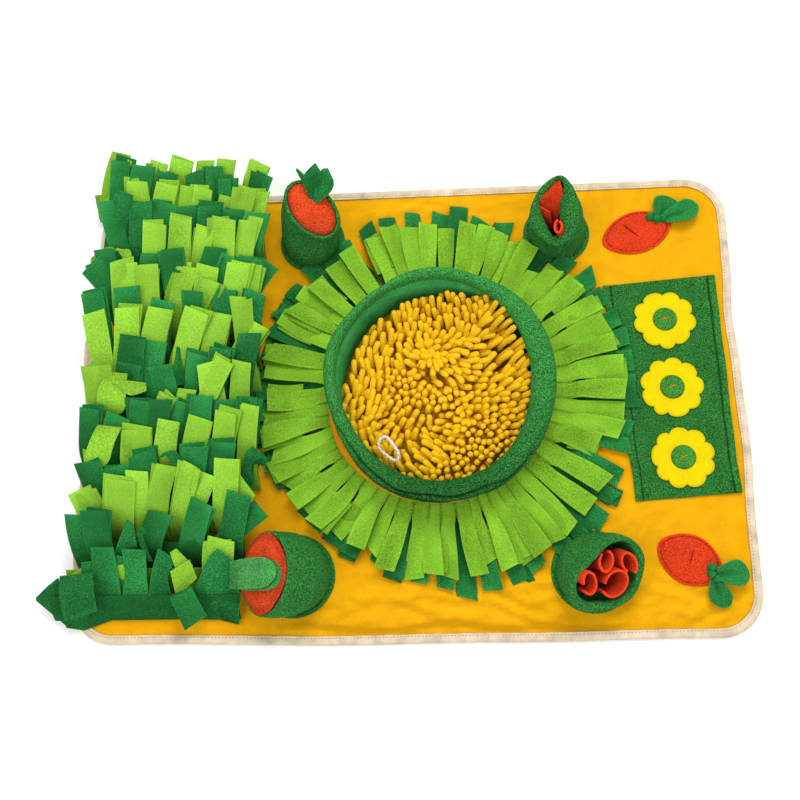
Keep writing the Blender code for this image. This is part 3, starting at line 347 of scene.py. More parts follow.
# Flat felt pieces
FELT = 2 * MM
PATCH_CORNERS = ((211, 123), (329, 132), (335.5, -105), (231, -112))
HEM = 8 * MM
FLOWERS = ((273, 82), (275, 7), (280.5, -68))
FLOWER_RADIUS, FLOWER_LOBES, FLOWER_NOTCH, FLOWER_TURN = 32.5 * MM, 9, 0.15, 0.2
CENTRE_RADIUS, CENTRE_THICK, CENTRE_DOME = 12.5 * MM, 1.6 * MM, 0.8 * MM
# Carrots: node, middle x and y, half length, half width (mm), the direction of the leaves (degrees), and the
# two ends of the slit (mm)
CARROTS = (
    ("carrot_patch_top", 251, 185, 39, 24, 18, (234.5, 197), (254.6, 177.5)),
    ("carrot_patch_low", 279, -172, 34, 25, -30, (277.5, -178.5), (283.8, -160.5)),
)
CARROT_POINT = 0.22
# Leaves of the flat carrots: their blades (root x and y, heading, reach, width) and knots (x, y, direction)
FELT_LEAVES = (
    (
        "carrot_top_leaves",
        ((276, 200, 66, 28, 27), (281, 199, 19, 40, 23)),
        ((266, 202, 80), (273, 199.5, 100), (280, 200, 70)),
    ),
    (
        "carrot_low_leaves",
        ((301, -191, -74, 31, 20), (303, -187, -5, 32, 24)),
        ((300, -180, 10), (299, -187, -20), (304, -192, 30)),
    ),
)
KNOT_HALF, KNOT_HIGH = 6 * MM, 4.2 * MM


def linear(red, green, blue):
    """Colour for the shaders from display values of 0 to 255."""
    parts = [c / 255 for c in (red, green, blue)]
    return tuple(c / 12.92 if c <= 0.04045 else ((c + 0.055) / 1.055) ** 2.4 for c in parts)


def polar(radius, angle, height=0.0):
    return Vector((radius * math.cos(angle), radius * math.sin(angle), height))


def blend(start, end, share):
    return start + (end - start) * share


def ease(share):
    """0 to 1 with a soft start and end."""
    share = min(max(share, 0), 1)
    return share * share * (3 - 2 * share)


def hump(away, half):
    """1 in the middle, falling softly to about a third at half and to nothing beyond."""
    return math.exp(-((away / half) ** 2))


def millimetres(x, y, z=0.0):
    """A point given in millimetres."""
    return Vector((x, y, z)) * MM


def ripple(point, size, amount, seed=0.0):
    """Smooth unevenness at a point, for waves of one size and height."""
    return noise.noise(Vector(point) / size + Vector((seed, 1.7 * seed, -seed))) * amount


# Routes ------------------------


def smooth_route(points, parts):
    """Points along a Catmull-Rom curve through the given points."""
    route = []
    for i in range(len(points) - 1):
        before, start = points[max(i - 1, 0)], points[i]
        end, after = points[i + 1], points[min(i + 2, len(points) - 1)]
        for step in range(parts):
            t = step / parts
            straight, bend = (end - before) * t, (2 * before - 5 * start + 4 * end - after) * t**2
            route.append(0.5 * (2 * start + straight + bend + (3 * start - before - 3 * end + after) * t**3))
    route.append(points[-1])
    return route


def closed_route(points, parts):
    """A Catmull-Rom curve that runs round through the points and back to the first."""
    route = smooth_route([points[-1], *points, points[0], points[1]], parts)
    return route[parts : parts * (len(points) + 1) + 1]


def route_length(route):
    return sum((b - a).length for a, b in zip(route, route[1:]))


def route_point(route, share):
    """Point at a share of the way along a route."""
    place = share * (len(route) - 1)
    i = min(int(place), len(route) - 2)
    return route[i].lerp(route[i + 1], place - i)


def bezier(start, second, third, end, share):
    """Point of a curve that leaves its start towards the second point and reaches its end from the third."""
    rest = 1 - share
    return start * rest**3 + second * 3 * rest**2 * share + third * 3 * rest * share**2 + end * share**3


def ring_point(side, up, turn, radius):
    """Way from a middle line to its surface, at one turn round it."""
    return (side * math.cos(turn) + up * math.sin(turn)) * radius


# Meshes ------------------------


def new_mesh():
    bm = bmesh.new()
    bm.verts.layers.float.new("tone")
    bm.verts.layers.float.new("nap")
    bm.loops.layers.uv.new("UVMap")
    return bm


def sheet(bm, across, along, place, tone=0.0, nap=0.0, size=(1.0, 1.0)):
    """A grid whose verts are moved to place(u, v), with u across and v along, both from 0 to 1. Size scales
    its UVs."""
    made = bmesh.ops.create_grid(bm, x_segments=across, y_segments=along, size=0.5)["verts"]
    tones, naps = bm.verts.layers.float["tone"], bm.verts.layers.float["nap"]
    uvs = bm.loops.layers.uv["UVMap"]
    faces = list(dict.fromkeys(face for vert in made for face in vert.link_faces))
    for face in faces:
        for loop in face.loops:
            spot = loop.vert.co
            loop[uvs].uv = ((spot.x + 0.5) * size[0], (spot.y + 0.5) * size[1])
    for vert in made:
        u, v = vert.co.x + 0.5, vert.co.y + 0.5
        vert.co = place(u, v)
        vert[tones] = tone(u, v) if callable(tone) else tone
        vert[naps] = nap
    return made, faces


def face_outward(bm, faces):
    """Flip the faces of a closed form that point inwards."""
    middle = faces[0].verts[0].co.copy()
    for face in faces:
        face.normal_update()
    volume = sum((face.calc_center_median() - middle).dot(face.normal) * face.calc_area() for face in faces)
    if volume < 0:
        bmesh.ops.reverse_faces(bm, faces=faces)


def tube(bm, around, along, place, **facts):
    """A sheet rolled up across, with its seam and poles merged."""
    made, faces = sheet(bm, around, along, place, **facts)
    bmesh.ops.remove_doubles(bm, verts=made, dist=TINY)
    face_outward(bm, [face for face in faces if face.is_valid])


def thicken(bm, faces, thick):
    """Give an open sheet its thickness."""
    for face in faces:
        face.normal_update()
    bmesh.ops.solidify(bm, geom=faces, thickness=thick)


def thicken_down(bm, thick):
    """Give sheets that lie nearly flat their thickness, straight down."""
    grown = bmesh.ops.extrude_face_region(bm, geom=list(bm.faces), use_keep_orig=True)["geom"]
    lower = [part for part in grown if isinstance(part, bmesh.types.BMVert)]
    bmesh.ops.translate(bm, verts=lower, vec=-UP * thick)
    bmesh.ops.recalc_face_normals(bm, faces=bm.faces)
    face_outward(bm, list(bm.faces))


def dress(name, bm, cloth, slot, nodes=(), sharp=45):
    """Turn a bmesh into a finished piece in one cloth that stands for some nodes."""
    mesh = bpy.data.meshes.new(name)
    bm.to_mesh(mesh)
    bm.free()
    mesh.materials.append(cloth)
    mesh.shade_smooth()
    if sharp:
        mesh.set_sharp_from_angle(angle=math.radians(sharp))
    piece = bpy.data.objects.new(name, mesh)
    bpy.context.scene.collection.objects.link(piece)
    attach(piece, BODY)
    if nodes:
        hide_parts(*nodes)
    return piece


# Cloths ------------------------


def add_node(tree, kind, links=None, **values):
    """A node with its settings or socket values, and links into its sockets."""
    node = tree.nodes.new(kind)
    for key, value in values.items():
        if hasattr(node, key):
            setattr(node, key, value)
        else:
            node.inputs[key].default_value = value
    for key, source in (links or {}).items():
        tree.links.new(source, node.inputs[key])
    return node


def mix_number(tree, kind, first, second, third=None):
    node = tree.nodes.new("ShaderNodeMath")
    node.operation = kind
    for i, value in enumerate((first, second, third)):
        if value is None:
            continue
        if isinstance(value, (int, float)):
            node.inputs[i].default_value = value
        else:
            tree.links.new(value, node.inputs[i])
    return node.outputs[0]


PATCH_SCALE = 60  # soft patches in each metre of cloth
CLOTH_ROUGH, CLOTH_SHINE, SHEEN_ROUGH = 0.95, 0.05, 0.5


def make_cloth(name, base, dark, light, grain, grain_size, patchy, bump, sheen):
    """Brushed cloth: a fine mottled pile, soft patches, and a tone for each strip, which also carries the
    painted light and shade. Grain size is in mm.
    """
    material = bpy.data.materials.new(name)
    material.use_nodes = True
    tree = material.node_tree
    shader = tree.nodes["Principled BSDF"]
    place = add_node(tree, "ShaderNodeTexCoord").outputs["Object"]
    fine = add_node(
        tree, "ShaderNodeTexNoise", {"Vector": place}, Scale=1000 / grain_size, Detail=2.0, Roughness=0.7
    ).outputs["Fac"]
    patches = add_node(
        tree, "ShaderNodeTexNoise", {"Vector": place}, Scale=PATCH_SCALE, Detail=2.0
    ).outputs["Fac"]
    tone = add_node(tree, "ShaderNodeAttribute", attribute_name="tone").outputs["Fac"]
    nap = add_node(tree, "ShaderNodeAttribute", attribute_name="nap").outputs["Fac"]
    strength = mix_number(tree, "MULTIPLY_ADD", nap, grain, grain)
    share = mix_number(tree, "SUBTRACT", fine, 0.5)
    share = mix_number(tree, "MULTIPLY", share, strength)
    soft = mix_number(tree, "SUBTRACT", patches, 0.5)
    share = mix_number(tree, "MULTIPLY_ADD", soft, patchy, share)
    share = mix_number(tree, "ADD", share, tone)
    share = mix_number(tree, "ADD", share, 0.5)
    ramp = add_node(tree, "ShaderNodeValToRGB", {"Fac": share})
    stops = ramp.color_ramp.elements
    stops[0].color, stops[1].color = (*dark, 1), (*light, 1)
    middle = stops.new(0.5)
    middle.color = (*base, 1)
    tree.links.new(ramp.outputs["Color"], shader.inputs["Base Color"])
    height = add_node(tree, "ShaderNodeBump", {"Height": fine}, Strength=bump, Distance=1.0 * MM)
    tree.links.new(height.outputs["Normal"], shader.inputs["Normal"])
    for socket, value in (
        ("Roughness", CLOTH_ROUGH),
        ("Specular IOR Level", CLOTH_SHINE),
        ("Sheen Weight", sheen),
        ("Sheen Roughness", SHEEN_ROUGH),
        ("Sheen Tint", (*base, 1)),
    ):
        shader.inputs[socket].default_value = value
    return material


# How much brighter than white the studio lights a flat white sheet
STUDIO_BRIGHT = 1.3

# Share of the base colour in the dips and on the tips of the pile, grain and its size (mm), patches, bump and
# sheen
CLOTHS = {
    "mat_fleece": (0.7, 1.3, 0.5, 2.2, 0.6, 0.2, 0.03),
    "binding_tape": (0.6, 1.3, 0.6, 1.4, 0.6, 0.4, 0.15),
    "light_fleece": (0.4, 1.7, 1.1, 1.5, 0.12, 0.6, 0.15),
    "skirt_fleece": (0.35, 1.8, 1.2, 1.3, 0.12, 0.6, 0.15),
    "dark_fleece": (0.25, 2.4, 1.4, 1.2, 0.15, 0.8, 0.15),
    "nubby_fleece": (0.2, 2.8, 2.4, 1.3, 0.15, 1.0, 0.25),
    "lining_fleece": (0.45, 1.8, 0.8, 2.2, 0.6, 0.3, 0.15),
    "centre_felt": (0.4, 1.9, 2.4, 1.6, 0.4, 0.8, 0.15),
    "leaf_fleece": (0.4, 2.0, 1.6, 1.6, 0.4, 0.7, 0.15),
    "wall_fleece": (0.7, 1.3, 0.5, 2.2, 0.6, 0.2, 0.15),
    # the chenille's dark stop is redder, for the painted shade between its noodles
    "chenille": ((0.45, 0.26, 0.1), 1.3, 0.8, 1.4, 0.3, 0.8, 0.25),
    "white_cord": (0.6, 1.3, 0.5, 1.2, 0.4, 0.4, 0.15),
    "carrot_fleece": (0.4, 1.7, 1.9, 1.8, 0.4, 1.0, 0.15),
    "roll_fleece": (0.35, 1.8, 1.3, 1.6, 0.4, 0.6, 0.15),
    "carrot_felt": (0.45, 1.6, 2.3, 1.6, 0.3, 0.8, 0.15),
    "patch_fleece": (0.3, 2.6, 2.6, 1.3, 0.3, 0.9, 0.15),
    "yellow_felt": (0.7, 1.25, 0.6, 2.2, 0.4, 0.25, 0.02),
}


def cloth(name):
    """A cloth by name, made once from the colours that the panel holds."""
    made_name = f"{name}_pile"
    found = bpy.data.materials.get(made_name)
    if found:
        return found
    base = Vector(getattr(bpy.context.scene.snuffle_mat, name)) / STUDIO_BRIGHT
    dark, light, *facts = CLOTHS[name]
    shades = dark if isinstance(dark, tuple) else (dark,) * 3
    low = [c * shade for c, shade in zip(base, shades)]
    return make_cloth(made_name, base, low, [min(1, c) for c in base * light], *facts)


def colour(title, red, green, blue):
    note, default = f"Colour of the {title.lower()}", linear(red, green, blue)
    return bpy.props.FloatVectorProperty(
        name=title, description=note, subtype="COLOR", size=3, min=0, max=1, default=default
    )


def length(title, note, default):
    return bpy.props.FloatProperty(name=title, description=note, unit="LENGTH", default=default)


class SnuffleMatProps(bpy.types.PropertyGroup):
    """Sizes and colours of the mat's looks"""

    mat_fleece: colour("Mat fleece", 250, 180, 14)
    binding_tape: colour("Binding tape", 236, 216, 186)
    light_fleece: colour("Light grass fleece", 147, 205, 60)
    skirt_fleece: colour("Skirt fleece", 132, 190, 48)
    dark_fleece: colour("Dark grass fleece", 40, 124, 60)
    nubby_fleece: colour("Nubby rim and pouch fleece", 50, 121, 54)
    lining_fleece: colour("Bowl lining", 66, 160, 84)
    leaf_fleece: colour("Leaf fleece", 68, 143, 73)
    centre_felt: colour("Flower centre felt", 68, 140, 54)
    wall_fleece: colour("Bowl wall fleece", 246, 160, 20)
    chenille: colour("Chenille noodles", 255, 204, 30)
    white_cord: colour("Pull cord", 240, 234, 220)
    carrot_fleece: colour("Carrot fleece", 218, 73, 34)
    roll_fleece: colour("Curled strips", 222, 62, 28)
    carrot_felt: colour("Carrot felt", 228, 66, 30)
    patch_fleece: colour("Flower patch", 46, 112, 48)
    yellow_felt: colour("Flower felt", 246, 220, 12)
    fleece_thick: length("Fleece thickness", "Thickness of the cut strips and petals", 1.6 * MM)
    noodle_thick: length("Noodle thickness", "Diameter of one chenille noodle", 6.4 * MM)
    noodle_long: length("Noodle length", "Length of one chenille noodle", 36 * MM)
    wrinkle: length("Wrinkle height", "Height of the soft wrinkles in the mat", 1.2 * MM)


# Mat ------------------------


def swell(side, along):
    """Outward shift of the soft edge at a place along one side."""
    total = 0.0
    for name, middle, half, amount in EDGE_SWELLS:
        reach = (along / MM - middle) / half
        if name == side and abs(reach) < 1:
            total += amount * MM * math.cos(reach * math.pi / 2) ** 2
    return total


EDGE_SIDES = (
    ("near", Vector((0, -1, 0)), MAT_HALF_Y, MAT_HALF_X),
    ("right", Vector((1, 0, 0)), MAT_HALF_X, MAT_HALF_Y),
    ("far", Vector((0, 1, 0)), MAT_HALF_Y, MAT_HALF_X),
    ("left", Vector((-1, 0, 0)), MAT_HALF_X, MAT_HALF_Y),
)
# Lengths of the straight sides, each with the corner after it
EDGE_LENGTHS = [
    part for _, _, _, half in EDGE_SIDES for part in (2 * (half - MAT_CORNER), MAT_CORNER * math.pi / 2)
]
EDGE_ROUND = sum(EDGE_LENGTHS)


def edge_point(share, inset):
    """Point at a share of the way round the mat's edge, drawn in by inset."""
    left = (share % 1) * EDGE_ROUND
    for i, part in enumerate(EDGE_LENGTHS):
        if left <= part or i == len(EDGE_LENGTHS) - 1:
            break
        left -= part
    side, out, away, half = EDGE_SIDES[i // 2]
    along = Vector((-out.y, out.x, 0))
    straight = half - MAT_CORNER
    if i % 2 == 0:
        place = along * (left - straight)
        ordinate = place.x if side in ("near", "far") else place.y
        return place + out * (away + swell(side, ordinate) - inset)
    turn = left / MAT_CORNER
    return along * straight + out * (away - MAT_CORNER) + (out * math.cos(turn) + along * math.sin(turn)) * (
        MAT_CORNER - inset
    )


def mat_point(u, v, inset):
    """Point of the mat from a square of -1 to 1, with its corners rounded and its edges swollen."""
    half_x, half_y = MAT_HALF_X - inset, MAT_HALF_Y - inset
    x, y = u * half_x, v * half_y
    turn = MAT_CORNER - inset
    over_x, over_y = abs(x) - half_x + turn, abs(y) - half_y + turn
    if over_x > 0 and over_y > 0:
        shrink = max(over_x, over_y) / math.hypot(over_x, over_y)
        x = math.copysign(half_x - turn + over_x * shrink, x)
        y = math.copysign(half_y - turn + over_y * shrink, y)
    x += swell("right" if x > 0 else "left", y) * math.copysign(max(0, abs(u) * 2 - 1), x)
    y += swell("far" if y > 0 else "near", x) * math.copysign(max(0, abs(v) * 2 - 1), y)
    return Vector((x, y, 0))


def wrinkles(x, y, high):
    """Height of the soft wrinkles: long waves, sharper folds along the near side, and patches of folds."""
    spot = Vector((x, y, 0))
    wave = ripple(spot, 90 * MM, 0.6 * high, 3) + ripple(spot, 35 * MM, 0.5 * high, 8)
    near_x, near_y, near_long, near_deep = NEAR_FOLDS
    near = hump(y - near_y, near_deep) * hump(x - near_x, near_long)
    fold = abs(noise.noise(Vector((x / (38 * MM), (y + 0.25 * x) / (14 * MM), 2.0))))
    wave += near * (1 - FOLD_SHARP * fold) * 1.9 * high
    for i, (mid_x, mid_y, half_long, half_deep, heading, apart, rise) in enumerate(MAT_FOLDS):
        turned = Matrix.Rotation(-math.radians(heading), 2) @ Vector((x / MM - mid_x, y / MM - mid_y))
        window = math.exp(-((turned.x / half_long) ** 2) - (turned.y / half_deep) ** 2)
        if window > 0.02:
            fold = abs(noise.noise(Vector((turned.x / (4.5 * apart), turned.y / apart, 3.0 + i))))
            wave += window * (1 - FOLD_SHARP * fold) * rise * high
    return wave


def edge_crease(x, y):
    """Depth, from 0 to 1, of the crease that wanders along the near binding."""
    middle = -MAT_HALF_Y + (13 + 10 * noise.noise(Vector((x / (70 * MM), 5, 0)))) * MM
    starts, ends = (x - EDGE_CREASE_FROM) / EDGE_CREASE_FADE, (EDGE_CREASE_TO - x) / EDGE_CREASE_FADE
    return ease(starts) * ease(ends) * hump(y - middle, EDGE_CREASE_HALF)


def build_mat(context):
    high = context.scene.snuffle_mat.wrinkle
    bm = new_mesh()

    def top(u, v):
        spot = mat_point(2 * u - 1, 2 * v - 1, MAT_INSET)
        edge = min(1 - abs(2 * u - 1), (1 - abs(2 * v - 1)) * MAT_HALF_Y / MAT_HALF_X) * MAT_HALF_X
        free = ease((edge - TAPE_HOLDS) / TAPE_FADE)
        waves = wrinkles(spot.x, spot.y, high) - MAT_SINK - edge_crease(spot.x, spot.y) * MM
        spot.z = MAT_TOP - TAPE_PRESS * (1 - free) + waves * free
        return spot

    def top_shade(u, v):
        x, y, _ = mat_point(2 * u - 1, 2 * v - 1, MAT_INSET)
        # painted light and shade: lighter on slopes that face the far side, darker on those that face the near
        # side and in the crease along the near binding
        slope = wrinkles(x, y - SLOPE_STEP, high) - wrinkles(x, y + SLOPE_STEP, high)
        tone = min(max(SLOPE_PAINTED_LIGHT * slope / MM, SLOPE_DARKEST), SLOPE_LIGHTEST)
        return tone - EDGE_CREASE_PAINTED_SHADE * edge_crease(x, y)

    made, faces = sheet(bm, 180, 130, top, tone=top_shade)
    kept = set(made)
    thicken(bm, faces, 2 * MM)
    for vert in bm.verts:
        if vert not in kept:
            edge = min(MAT_HALF_X - abs(vert.co.x), MAT_HALF_Y - abs(vert.co.y))
            vert.co.z = MAT_FLOOR if edge > TAPE_UNDER else TAPE_FLOOR
    piece = dress("mat_cloth", bm, cloth("mat_fleece"), "mat_fleece", ["mat_base"])


class SNUFFLE_OT_mat(bpy.types.Operator):
    """Fleece base with soft wrinkles"""

    bl_idname = "snuffle_mat.mat"
    bl_label = "Mat"

    def execute(self, context):
        build_mat(context)
        return {"FINISHED"}


def build_binding():
    bm = new_mesh()
    # inset and height over the fold of the tape, from under the mat round to its top
    profile = (
        (9.0, 0.0), (5.0, 0.0), (1.2, 0.1), (0.2, 1.0), (0.0, 2.2), (0.4, 3.6), (1.6, 4.6), (3.2, 4.7),
        (4.8, 4.6), (6.2, 4.4), (6.8, 4.05), (7.4, 4.3), (8.3, 4.5), (8.9, 4.3), (9.0, 3.6), (8.2, 3.3),
        (5.0, 3.3), (1.6, 3.0), (1.2, 2.2), (1.6, 1.2), (5.0, 1.0), (9.0, 1.0),
    )
    steps = len(profile)

    def place(u, v):
        inset, high = profile[round(v * steps) % steps]
        pucker = ripple(polar(41, math.tau * u, 0.4 * inset), 1, 0.5, 4)
        pucker += ripple(polar(10, math.tau * u), 1, 0.5, 9)
        spot = edge_point(u, (inset + pucker * (0.5 if inset < 3 else 0.6)) * MM)
        on_top = high > 3.4
        spot.z = max(0, high + (0.5 * pucker if on_top else 0)) * MM
        return spot

    def shade(u, v):
        # streaks of painted light and shade that stand for the tape's small puckers
        broad = noise.noise(polar(30, math.tau * u, 2 * v))
        fine = noise.noise(polar(80, math.tau * u, 5 * v))
        return 0.3 * broad + 0.2 * fine

    tube(bm, 900, steps, place, tone=shade, size=(EDGE_ROUND, 0.024))
    piece = dress("binding", bm, cloth("binding_tape"), "binding_tape", ["edge_binding"], sharp=60)
    stitches, lift = new_mesh(), UP * STITCH_HIGH
    for i in range(STITCHES):
        start, end = (edge_point((i + part) / STITCHES, STITCH_INSET) for part in (0.15, 0.85))
        add_stitch(stitches, start + lift, end + lift, STITCH_RADIUS, tone=-0.5)
    dress("binding_stitches", stitches, cloth("binding_tape"), "binding_tape")


class SNUFFLE_OT_binding(bpy.types.Operator):
    """Tape folded over the edge, with its row of stitches"""

    bl_idname = "snuffle_mat.binding"
    bl_label = "Edge binding"

    def execute(self, context):
        build_binding()
        return {"FINISHED"}


def add_stitch(bm, start, end, radius, tone=0.0, around=5, along=4):
    """One short thread that dips at both ends."""
    ahead = end - start
    side = ahead.cross(UP).normalized()

    def place(u, v):
        fat = radius * math.sin(math.pi * min(max(v, 0.12), 0.88)) ** 0.5 if TINY < v < 1 - TINY else 0.0
        spot = start + ahead * v - UP * radius * 1.2 * (2 * v - 1) ** 2
        return spot + ring_point(side, UP, math.tau * u, fat)

    tube(bm, around, along, place, tone=tone)


# Strips ------------------------


# Where the round end of a strip starts, and over what share of its length it closes
ROUND_START, ROUND_LONG = 0.75, 0.26
EDGE_PARTS = 8  # points of a strip's edge from one section to the next


class Ruled:
    """A strip between two edge lines that are given by a few sections from its root to its tip."""

    def __init__(self, sections, round_end, rng):
        self.left = smooth_route([millimetres(*section[:3]) for section in sections], EDGE_PARTS)
        self.right = smooth_route([millimetres(*section[3:]) for section in sections], EDGE_PARTS)
        self.round_end = round_end
        # the second number is painted light, which makes one side of the strip lighter than the other
        self.seed, self.painted_side_light = rng.uniform(0, 90), rng.uniform(-0.1, 0.1)
        middles = [a.lerp(b, 0.5) for a, b in zip(self.left, self.right)]
        self.long = route_length(middles)
        self.width = sum((b - a).length for a, b in zip(self.left, self.right)) / len(self.left)
        self.root_x = middles[0].x

    def place(self, u, v):
        left, right = route_point(self.left, v), route_point(self.right, v)
        if self.round_end:
            closing = max(0, v - ROUND_START) / ROUND_LONG
            u = 0.5 + (u - 0.5) * math.sqrt(max(1 - closing**2, 0.02))
        wave = ripple((v * 1.8, (u - 0.5) * 0.6, 0), 1, 1.4 * MM, self.seed) * ease(3 * v)
        return left.lerp(right, u) + UP * wave


class Strip:
    """One cut strip as a surface: it leaves its root at one slope and reaches its tip at another."""

    def __init__(self, root, tip, width, rise, fall, rng, root_width=None, spin=0.0, cup=0.0, flare=2.0):
        self.flare = flare
        self.root, self.tip, self.width = Vector(root), Vector(tip), width
        self.root_width = width if root_width is None else root_width
        reach = self.tip - self.root
        self.heading = math.atan2(reach.y, reach.x)
        self.long = reach.length
        bow = 0.4 * self.long
        self.second = self.root + polar(bow * math.cos(rise), self.heading, bow * math.sin(rise))
        self.third = self.tip - polar(bow * math.cos(fall), self.heading, bow * math.sin(fall))
        self.spin, self.cup = spin, cup
        self.skew = rng.uniform(-1.5, 1.5) * MM
        self.seed = rng.uniform(0, 90)
        self.sway = rng.uniform(-2.5, 2.5) * MM

    def middle(self, v):
        return bezier(self.root, self.second, self.third, self.tip, v)

    def ahead(self, v):
        rest = 1 - v
        leaving, between = self.second - self.root, self.third - self.second
        arriving = self.tip - self.third
        return (leaving * rest * rest + between * 2 * rest * v + arriving * v * v).normalized()

    def place(self, u, v):
        ahead = self.ahead(v)
        side = Matrix.Rotation(self.spin * ease(v), 3, ahead) @ Vector(
            (math.sin(self.heading), -math.cos(self.heading), 0)
        )
        up = side.cross(ahead)
        width = blend(self.root_width, self.width, ease(self.flare * v))
        across = (u - 0.5) * width
        cup = self.cup * (4 * (u - 0.5) ** 2 - 0.4) * ease(1.5 * v)
        wave = ripple((v * 1.6, (u - 0.5) * 0.5, 0), 1, 2.2 * MM, self.seed) * ease(3 * v)
        shift = ahead * (self.skew * (2 * u - 1) * ease(2 * v - 1))
        bend = side * self.sway * math.sin(math.pi * v)
        return self.middle(v) + side * across + up * (cup + wave) + shift + bend


# Height of a grass strip over its root, by how far back it has leant (mm): a steep start, then a slope
GRASS_STEEP, GRASS_BEND, GRASS_SLOPE = 32, 13, 0.26
GRASS_ROOT = SEAT + 2 * MM
TIP_MEASURED = 50 * MM  # height that the table's tips are given at
# A row's band: how far it runs past the outer roots, its depth in place, its thickness, its depth laid flat
# (mm) and the cloth in its fold
BAND_PAST, BAND_SHOWS, BAND_THICK, BAND_CLOTH, BAND_FOLD = 12 * MM, 22 * MM, 1 * MM, 34, 13 * MM
SECOND_LAYERS = 0.75  # share of the strips that have a second layer


def grass_height(back):
    back = max(back, 0) / MM
    return GRASS_ROOT + (GRASS_STEEP * (1 - math.exp(-back / GRASS_BEND)) + GRASS_SLOPE * back) * MM


def grass_tip(tip_x, tip_y, row_y, over):
    """The table's tip, moved along its line of sight from the camera to its own height."""
    eye = Vector(CAMERA_PLACE)
    spot = Vector((tip_x * MM, tip_y * MM, TIP_MEASURED))
    for _ in range(4):
        height = grass_height(spot.y - row_y) + over
        spot = spot + (eye - spot) * ((height - spot.z) / (eye.z - spot.z))
    return spot


class Blade:
    """One grass strip that leans back over the next row, a set height over the row's common slope."""

    def __init__(self, root_x, row_y, tip, width, root_width, rng, over, spin, cup, curl):
        self.root_x, self.row_y, self.tip = root_x, row_y, tip
        self.width, self.root_width = width, root_width
        self.over, self.spin, self.cup, self.curl = over, spin, cup, curl
        self.skew = rng.uniform(-2.4, 2.4) * MM
        # the second number is painted light, which makes one side of the strip lighter than the other
        self.seed, self.painted_side_light = rng.uniform(0, 90), rng.uniform(-0.16, 0.16)
        self.wave = rng.uniform(1.2, 3.2) * MM
        self.sway, self.flare = rng.uniform(-2.5, 2.5) * MM, rng.uniform(-0.07, 0.07)
        self.long = route_length([self.middle(step / 16) for step in range(17)])

    def middle(self, v):
        back = v**1.8
        x = self.root_x + (self.tip.x - self.root_x) * back**1.25
        y = self.row_y + (self.tip.y - self.row_y) * back
        rise = self.curl * max(0, v - 0.6) ** 2 / 0.16
        return Vector((x, y, grass_height(y - self.row_y) + self.over * ease(2 * v) + rise))

    def place(self, u, v):
        low, high = max(v - 0.02, 0), min(v + 0.02, 1)
        ahead = (self.middle(high) - self.middle(low)).normalized()
        level = math.hypot(ahead.x, ahead.y)
        side = Vector((ahead.y, -ahead.x, 0)) / level if level > 0.05 else Vector((1, 0, 0))
        side = Matrix.Rotation(self.spin * ease(v), 3, ahead) @ side
        up = side.cross(ahead)
        width = blend(self.root_width, self.width, ease(1.6 * v)) * (1 + self.flare * math.sin(5 * v))
        cup = self.cup * (4 * (u - 0.5) ** 2 - 0.4) * ease(1.5 * v)
        wave = ripple((v * 1.8, (u - 0.5) * 0.6, 0), 1, self.wave, self.seed) * ease(3 * v)
        shift = ahead * (self.skew * (2 * u - 1) * ease(2 * v - 1))
        across = (u - 0.5) * width + self.sway * math.sin(math.pi * v)
        return self.middle(v) + side * across + up * (cup + wave) + shift


# Share of the way across a strip of each line of its grid, close together at the cut edges
STRIP_LINES = (0, 0.07, 0.36, 0.64, 0.93, 1)


def cut_strip(bm, strip, thick, tone, nap, along=12):
    """A strip with its thickness. Painted highlights make its cut edges a little lighter, painted shade
    darkens its root, and soft painted light and shade runs along and across it.
    """

    def place(u, v):
        return strip.place(STRIP_LINES[round(u * (len(STRIP_LINES) - 1))], v)

    def shade(u, v):
        edge = u < 0.01 or u > 0.99 or v > 0.99
        soft = 0.22 * noise.noise(Vector((1.1 * u, 2.2 * v, strip.seed)))
        return tone + soft + strip.painted_side_light * (u - 0.5) - 0.16 * (1 - ease(1.6 * v)) + 0.12 * edge

    size = (strip.width, strip.long)
    _, faces = sheet(bm, len(STRIP_LINES) - 1, along, place, tone=shade, nap=nap, size=size)
    thicken(bm, faces, thick)


